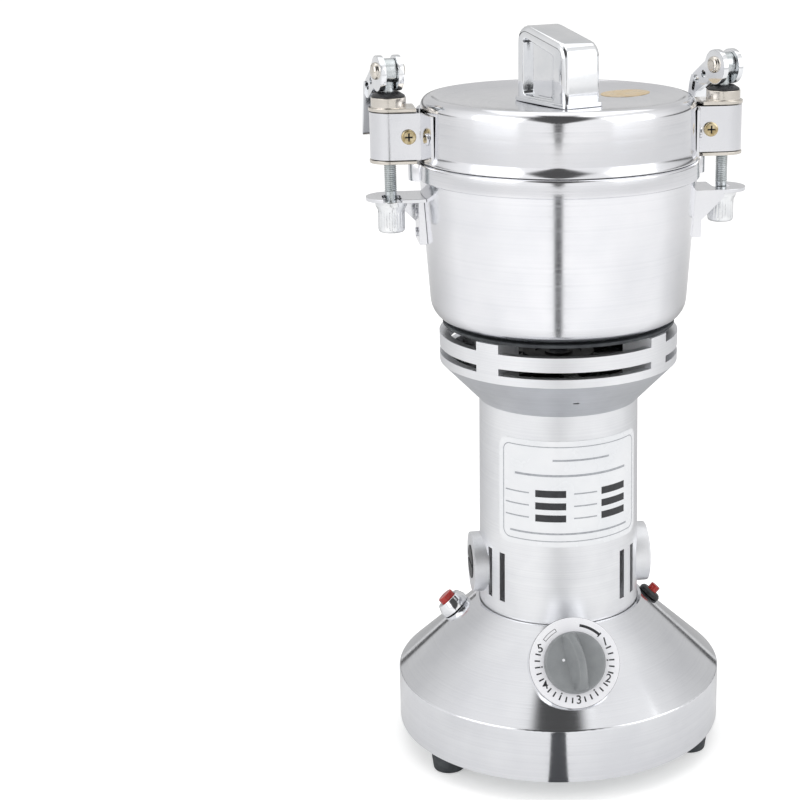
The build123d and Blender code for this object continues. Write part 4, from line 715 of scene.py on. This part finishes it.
def dialPlace(shape):
    turnAway, lift = math.radians(shape["azimuth"]), math.radians(shape["lift"])
    across = Vector((math.cos(turnAway), math.sin(turnAway), 0))
    out = Vector((math.sin(turnAway) * math.cos(lift), -math.cos(turnAway) * math.cos(lift), math.sin(lift)))
    up = out.cross(across)
    place = Matrix((across, up, out)).transposed().to_4x4()
    place.translation = Vector(shape["origin"])
    return place


def addArc(work, inner, outer, low, high, start, end, steps):
    # a flat bar bent round the dial, clockwise angles from the top
    bar = bmesh.new()
    section = ((inner, low), (outer, low), (outer, high), (inner, high))
    bar.faces.new([bar.verts.new((0, radius, z)) for radius, z in section])
    turnWork(bar, -start)
    bmesh.ops.spin(bar, geom=allOf(bar), cent=(0, 0, 0), axis=(0, 0, -1), angle=math.radians(end - start),
                   steps=steps)
    bmesh.ops.remove_doubles(bar, verts=bar.verts, dist=0.0005)
    bmesh.ops.recalc_face_normals(bar, faces=bar.faces)
    joinWork(work, bar)


def addDigit(work, number, shape, place):
    curve = bpy.data.curves.new("digit", "FONT")
    curve.body = str(number)
    curve.size = shape["digitHeight"] / shape["capital"]
    curve.extrude = shape["thick"]
    curve.offset = shape["bold"]
    curve.align_x = "CENTER"
    curve.align_y = "CENTER"
    curve.resolution_u = 4
    holder = bpy.data.objects.new("digit", curve)
    scene.collection.objects.link(holder)
    mesh = finalMesh(holder)
    bpy.data.objects.remove(holder)
    mesh.transform(place)
    work.from_mesh(mesh)
    bpy.data.meshes.remove(mesh)


def makeDial(shape, place):
    work = bmesh.new()
    bush, radius, low, top = (shape[key] for key in ("bush", "radius", "low", "top"))
    spinOutline(work, [(bush, low, 0), (radius, low, shape["backEdge"]), (radius, top, shape["edge"]),
                       (bush, top, 0)], closed=True, steps=shape["steps"])
    placeWork(work, place)
    makePiece("dialDisc", work, "base", "white_plastic", stands=("timer_dial",))


def makePrint(shape, dialTop, place):
    # digits with ticks between them, and a few bars
    work = bmesh.new()
    ring, low, high = shape["ring"], dialTop + shape["low"], dialTop + shape["high"]
    for number, lean in enumerate(shape["digitLean"], 1):
        angle = math.radians(shape["step"] * number)
        spot = Vector((ring * math.sin(angle), ring * math.cos(angle), low + shape["thick"]))
        turned = Matrix.Rotation(math.radians(lean), 4, "Z")
        addDigit(work, number, shape, Matrix.Translation(spot) @ turned)
        if number == len(shape["digitLean"]):
            break
        for tick in range(1, shape["gaps"]):
            at = shape["step"] * (number + tick / shape["gaps"])
            halfway = (shape["halfTick"],) if 2 * tick == shape["gaps"] else ()
            for inner, outer, half in (shape["tick"], *halfway):
                addArc(work, ring + inner, ring + outer, low, high, at - half, at + half, 1)
    for inner, outer, start, end, steps in shape["bars"]:
        addArc(work, ring + inner, ring + outer, low, high, start, end, steps)
    placeWork(work, place)
    makePiece("dialPrint", work, "base", "black_plastic", finish="screen_ink")


def makeKnob(shape, grip, dot, place):
    skirt = bmesh.new()
    radius, low, top = shape["radius"], shape["low"], shape["top"]
    spinOutline(skirt, [(0, low, 0), (radius, low, shape["lowEdge"]),
                        (radius - shape["lean"], top - shape["shoulder"], shape["shoulderRound"]),
                        (radius - shape["flat"], top, 0), (0, top, 0)], steps=shape["steps"])
    bar = bmesh.new()
    half, reach = grip["width"] / 2, radius - grip["margin"]
    addBlock(bar, (-half, -reach, top - grip["sunk"]), (half, reach, grip["top"] - grip["crown"]))
    along = [edge for edge in bar.edges if abs(edge.verts[0].co.y - edge.verts[1].co.y) > 1]
    bmesh.ops.subdivide_edges(bar, edges=along, cuts=grip["cuts"], use_grid_fill=True)
    for vert in bar.verts:
        share = vert.co.y / reach
        if vert.co.z > top:  # the ridge bows to the right and leaves a scooped left flank
            ridge = grip["bowStart"] + grip["bow"] * (1 - share ** 2)
            vert.co.x = ridge + (grip["right"] if vert.co.x > 0 else grip["left"])
            vert.co.z += grip["crown"] - grip["droop"] * share ** 2
        else:
            vert.co.x *= 1 - grip["waist"] * share ** 2
    roundEdges(bar, grip["edge"], angle=50)
    turnWork(bar, grip["turned"])
    for name, work in (("knobSkirt", skirt), ("knobGrip", bar)):
        placeWork(work, place)
        makePiece(name, work, "timer_knob", "grey_plastic", stands=("timer_knob",))
    # painted highlight: a white dot set into the knob's top
    mark = bmesh.new()
    addRod(mark, dot["radius"], top - dot["sunk"], top + dot["proud"], dot["steps"])
    roundEdges(mark, dot["edge"], segments=1)
    moveWork(mark, *dot["place"], 0)
    placeWork(mark, place)
    makePiece("knobGlintDot", mark, "timer_knob", "white_plastic")


timerPlace = dialPlace(timerShape)
makeDial(dialShape, timerPlace)
makePrint(printShape, dialShape["top"], timerPlace)
makeKnob(knobShape, gripShape, glintDotShape, timerPlace)
print("timer made")

# Label: film laid round the column, a thin border and plain bars with no words

labelShape = dict(west=-56.3, east=59.4, low=126, top=185, corner=6, thick=0.12, lift=0.06, border=3.0,
                  borderCorner=4.5, borderThick=0.04, borderLift=0.03, line=0.5, lineCorner=4)
# bars and rules are (start, end) in degrees round the column, long rules also (low, top)
markShape = dict(rows=(153.9, 147.0, 140.2), bars=((-26.3, -4.6), (21.6, 43.4)), barHeight=3.9,
                 rules=((-50, -31), (1, 18)), ruleLow=1.6, ruleTop=2.3, outer=0.05, inner=0.01,
                 longRules=((-14, 28, 174, 175), (-42, 44, 165.4, 166.6), (-46, 46, 133, 134)))
# the column's height and radius at its foot and top, and the strips the print is cut into
columnShape = dict(foot=(81.5, 44.1), top=(198.4, 43.0), mean=43.5, reach=62, strip=2.8)


def bendRound(work, column):
    # flat print, cut into upright strips and bent round the column
    (zLow, rLow), (zTop, rTop) = column["foot"], column["top"]
    reach = column["mean"] * math.radians(column["reach"])
    for step in range(int(2 * reach / column["strip"])):
        bmesh.ops.bisect_plane(work, geom=allOf(work), plane_no=(1, 0, 0),
                               plane_co=(-reach + column["strip"] * (step + 0.5), 0, 0))
    for vert in work.verts:
        angle = vert.co.x / column["mean"]
        radius = rLow + (rTop - rLow) * (vert.co.z - zLow) / (zTop - zLow) - vert.co.y
        vert.co.xy = radius * math.sin(angle), -radius * math.cos(angle)
    bmesh.ops.recalc_face_normals(work, faces=work.faces)


def makeLabel(shape, marks, column):
    west, east = (column["mean"] * math.radians(shape[side]) for side in ("west", "east"))
    face, arc = shape["lift"] + shape["thick"], column["mean"] * math.radians(1)

    def slab(margin, corner, depth):
        low, top = shape["low"] + margin, shape["top"] - margin
        return slabFrom([(west + margin, low), (east - margin, low), (east - margin, top),
                         (west + margin, top)], (corner,) * 4, depth)

    def addMark(work, start, end, low, top):
        addBlock(work, (start * arc, -face - marks["outer"], low), (end * arc, -face - marks["inner"], top))

    film = slab(0, shape["corner"], shape["thick"])
    moveWork(film, 0, -shape["lift"] - shape["thick"] / 2, 0)
    border = carve(slab(shape["border"], shape["borderCorner"], shape["borderThick"]),
                   slab(shape["border"] + shape["line"], shape["lineCorner"], 1))
    moveWork(border, 0, -face - shape["borderLift"], 0)
    bars, rules = bmesh.new(), bmesh.new()
    for row in marks["rows"]:
        for start, end in marks["bars"]:
            addMark(bars, start, end, row, row + marks["barHeight"])
        for start, end in marks["rules"]:
            addMark(rules, start, end, row + marks["ruleLow"], row + marks["ruleTop"])
    for start, end, low, top in marks["longRules"]:
        addMark(rules, start, end, low, top)
    for name, work, finish, slot in (("labelFilm", film, "label_film", "white_plastic"),
                                     ("labelBorder", border, "grey_ink", "grey_plastic"),
                                     ("labelBars", bars, "screen_ink", "black_plastic"),
                                     ("labelRules", rules, "grey_ink", "grey_plastic")):
        bendRound(work, column)
        makePiece(name, work, "base", slot, finish=finish, sharp=60)


makeLabel(labelShape, markShape, columnShape)
print("label made")


# Stage: front and across are level directions, towards the camera and to its right.
# Rows of four are (from, from, to, to): the second pair is what the first pair is mapped to.

aim = dict(front=(-0.1736, -0.9848, 0), across=(0.9848, -0.1736, 0))
roomLook = dict(plain=0.8, dark=0.08, soft=(-0.7, 0.2, 0.64, 1.0), gapSide=(0.75, 1.3, 1.0, 0.0),
                gapAhead=(-0.02, 0.15, 0.0, 1.0), lineHeight=0.025, line=(0.025, 0.05, 1.0, 0.0),
                rear=(-0.3, 0.1, 1.0, 0.0),
                gap=((0, 0.07), (0.1, 0.14), (0.3, 0.31), (0.58, 0.45), (0.76, 0.4), (0.87, 0.2), (1, 0.2)))
floorLook = dict(colour="#f4f4f4", size=8, seen=0.36, shine=(0.4, 1.0, 0.05, 0.15),
                 rear=(-0.1, -0.9, 0.0, 0.5), near=(0.75, 1.35, 1.0, 0.0), contact=(0.1, 0.4, 0.1, 0.0))
cardLook = dict(colour=(0.085, 0.087, 0.092, 1), lift=0.002, turned=-10,
                rows=((0.092, 0.0068), (0.5, 0.029), (0.9, 0.052), (1.4, 0.066), (2.2, 0.16)))
lampLook = dict(aim=(0, 0, 0.2), lamps=(("leftSoftbox", (-1.3, -0.7, 0.9), 1.2, 4.5),
                                        ("rightSoftbox", (1.2, -0.9, 0.9), 1.2, 4.5),
                                        ("topSoftbox", (0.1, 0.2, 1.6), 1.4, 4.0)))
smooth = dict(interpolation_type="SMOOTHSTEP")


def makeRoom(look):
    scene.world = bpy.data.worlds.new("studio")
    tree = emptyTree(scene.world)
    rays = addNode(tree, "ShaderNodeLightPath").outputs
    way = addNode(tree, "ShaderNodeTexCoord").outputs["Generated"]
    height = addNode(tree, "ShaderNodeSeparateXYZ", (way,)).outputs["Z"]
    front, across = [addNode(tree, "ShaderNodeVectorMath", (way, aim[key]),
                             operation="DOT_PRODUCT").outputs["Value"] for key in ("front", "across")]
    # what metal sees: bright softboxes ahead, a dim room behind and a dark gap between the softboxes
    soft = addNode(tree, "ShaderNodeMapRange", (front, *look["soft"]), **smooth).outputs["Result"]
    # half the width of the gap against the height it is seen at
    gapShape = addNode(tree, "ShaderNodeFloatCurve", {"Value": height})
    line = gapShape.mapping.curves[0]
    line.points[0].location, line.points[1].location = look["gap"][0], look["gap"][-1]
    for spot in look["gap"][1:-1]:
        line.points.new(*spot)
    for point in line.points:
        point.handle_type = "VECTOR"
    gapShape.mapping.update()
    width = gapShape.outputs["Value"]
    side = addNode(tree, "ShaderNodeMath", (across,), operation="ABSOLUTE").outputs["Value"]
    share = addNode(tree, "ShaderNodeMath", (side, width), operation="DIVIDE").outputs["Value"]
    inGap = addNode(tree, "ShaderNodeMapRange", (share, *look["gapSide"]), **smooth).outputs["Result"]
    ahead = addNode(tree, "ShaderNodeMapRange", (front, *look["gapAhead"]), **smooth).outputs["Result"]
    gap = addNode(tree, "ShaderNodeMath", (inGap, ahead), operation="MULTIPLY").outputs["Value"]
    # a thin dark line just above the horizon behind: the far edge of the backdrop
    off = addNode(tree, "ShaderNodeMath", (height, look["lineHeight"]), operation="SUBTRACT").outputs["Value"]
    off = addNode(tree, "ShaderNodeMath", (off,), operation="ABSOLUTE").outputs["Value"]
    level = addNode(tree, "ShaderNodeMapRange", (off, *look["line"]), **smooth).outputs["Result"]
    rear = addNode(tree, "ShaderNodeMapRange", (front, *look["rear"]), **smooth).outputs["Result"]
    edge = addNode(tree, "ShaderNodeMath", (level, rear), operation="MULTIPLY").outputs["Value"]
    both = addNode(tree, "ShaderNodeMath", (gap, edge), operation="MAXIMUM").outputs["Value"]
    room = addNode(tree, "ShaderNodeMix", {0: both, 2: soft, 3: look["dark"]}).outputs[0]
    lit = addNode(tree, "ShaderNodeMix", {0: rays["Is Glossy Ray"], 2: look["plain"], 3: room}).outputs[0]
    seen = addNode(tree, "ShaderNodeMath", (rays["Is Camera Ray"], rays["Is Transmission Ray"]),
                   operation="MAXIMUM").outputs["Value"]
    strength = addNode(tree, "ShaderNodeMath", (lit, seen), operation="MAXIMUM").outputs["Value"]
    sky = addNode(tree, "ShaderNodeBackground", {"Color": (1, 1, 1, 1), "Strength": strength})
    addNode(tree, "ShaderNodeOutputWorld", {"Surface": sky.outputs["Background"]})


def makeFloor(look):
    paper = bpy.data.materials.new("floor_paper")
    tree = emptyTree(paper)
    rays = addNode(tree, "ShaderNodeLightPath").outputs
    place = addNode(tree, "ShaderNodeTexCoord").outputs["Object"]
    reach = addNode(tree, "ShaderNodeVectorMath", (place,), operation="LENGTH").outputs["Value"]
    way = addNode(tree, "ShaderNodeVectorMath", (place,), operation="NORMALIZE").outputs["Vector"]
    front = addNode(tree, "ShaderNodeVectorMath", (way, aim["front"]),
                    operation="DOT_PRODUCT").outputs["Value"]
    # painted light: shiny metal sees the floor brighter ahead
    shine = addNode(tree, "ShaderNodeMapRange", (front, *look["shine"]), **smooth).outputs["Result"]
    shine = addNode(tree, "ShaderNodeMath", (shine, rays["Is Glossy Ray"]),
                    operation="MULTIPLY").outputs["Value"]
    glow = addNode(tree, "ShaderNodeMath", (rays["Is Camera Ray"], look["seen"], shine),
                   operation="MULTIPLY_ADD").outputs["Value"]
    lit = addNode(tree, "ShaderNodeEmission", {"Strength": glow}).outputs["Emission"]
    matt = addNode(tree, "ShaderNodeBsdfDiffuse", {"Color": hexColour(look["colour"])}).outputs["BSDF"]
    both = addNode(tree, "ShaderNodeAddShader", (lit, matt)).outputs["Shader"]
    # painted shade: darker behind, and close to the foot
    rear = addNode(tree, "ShaderNodeMapRange", (front, *look["rear"])).outputs["Result"]
    near = addNode(tree, "ShaderNodeMapRange", (reach, *look["near"])).outputs["Result"]
    rear = addNode(tree, "ShaderNodeMath", (rear, near), operation="MULTIPLY").outputs["Value"]
    contact = addNode(tree, "ShaderNodeMapRange", (reach, *look["contact"])).outputs["Result"]
    shade = addNode(tree, "ShaderNodeMath", (rear, contact), operation="MAXIMUM").outputs["Value"]
    shade = addNode(tree, "ShaderNodeMath", (shade, rays["Is Glossy Ray"]),
                    operation="MULTIPLY").outputs["Value"]
    unlit = addNode(tree, "ShaderNodeEmission", {"Strength": 0.0}).outputs["Emission"]
    whole = addNode(tree, "ShaderNodeMixShader", (shade, both, unlit))
    addNode(tree, "ShaderNodeOutputMaterial", {"Surface": whole.outputs["Shader"]})
    work = bmesh.new()
    bmesh.ops.create_grid(work, x_segments=1, y_segments=1, size=look["size"])
    floor = objectFrom("floor", work)
    floor.data.materials.append(paper)


def makeCard(look):
    # a card on the floor that only the shiny metal sees: the foot of the dark gap, wider far away
    dark = bpy.data.materials.new("dark_card")
    tree = emptyTree(dark)
    shade = addNode(tree, "ShaderNodeEmission", {"Color": look["colour"], "Strength": 1.0})
    addNode(tree, "ShaderNodeOutputMaterial", {"Surface": shade.outputs["Emission"]})
    work = bmesh.new()
    rows = [[work.verts.new((side * half, -away, look["lift"])) for side in (-1, 1)]
            for away, half in look["rows"]]
    for near, far in zip(rows, rows[1:]):
        work.faces.new((near[0], near[1], far[1], far[0]))
    turnWork(work, look["turned"])
    card = objectFrom("frontCard", work)
    card.data.materials.append(dark)
    card.visible_camera = False
    card.visible_diffuse = False
    card.visible_shadow = False
    card.visible_transmission = False


def makeLamps(look):
    for name, place, size, watts in look["lamps"]:
        lamp = bpy.data.lights.new(name, "AREA")
        lamp.shape = "SQUARE"
        lamp.size = size
        lamp.energy = watts
        holder = bpy.data.objects.new(name, lamp)
        holder.location = place
        holder.rotation_euler = (Vector(look["aim"]) - Vector(place)).to_track_quat("-Z", "Y").to_euler()
        scene.collection.objects.link(holder)


makeRoom(roomLook)
makeFloor(floorLook)
makeCard(cardLook)
makeLamps(lampLook)

cameraShape = dict(place=(-0.1635, -0.9272, 0.4793), down=16.817, azimuth=-10, sensor=36, lens=81.39,
                   shift=-0.198)
camera = bpy.data.objects.new("camera", bpy.data.cameras.new("camera"))
camera.data.sensor_width = cameraShape["sensor"]
camera.data.lens = cameraShape["lens"]
camera.data.shift_x = cameraShape["shift"]
camera.location = cameraShape["place"]
camera.rotation_euler = (math.radians(90 - cameraShape["down"]), 0, math.radians(cameraShape["azimuth"]))
scene.collection.objects.link(camera)
scene.camera = camera
scene.view_settings.view_transform = "Standard"
print("stage, lamps and camera set")
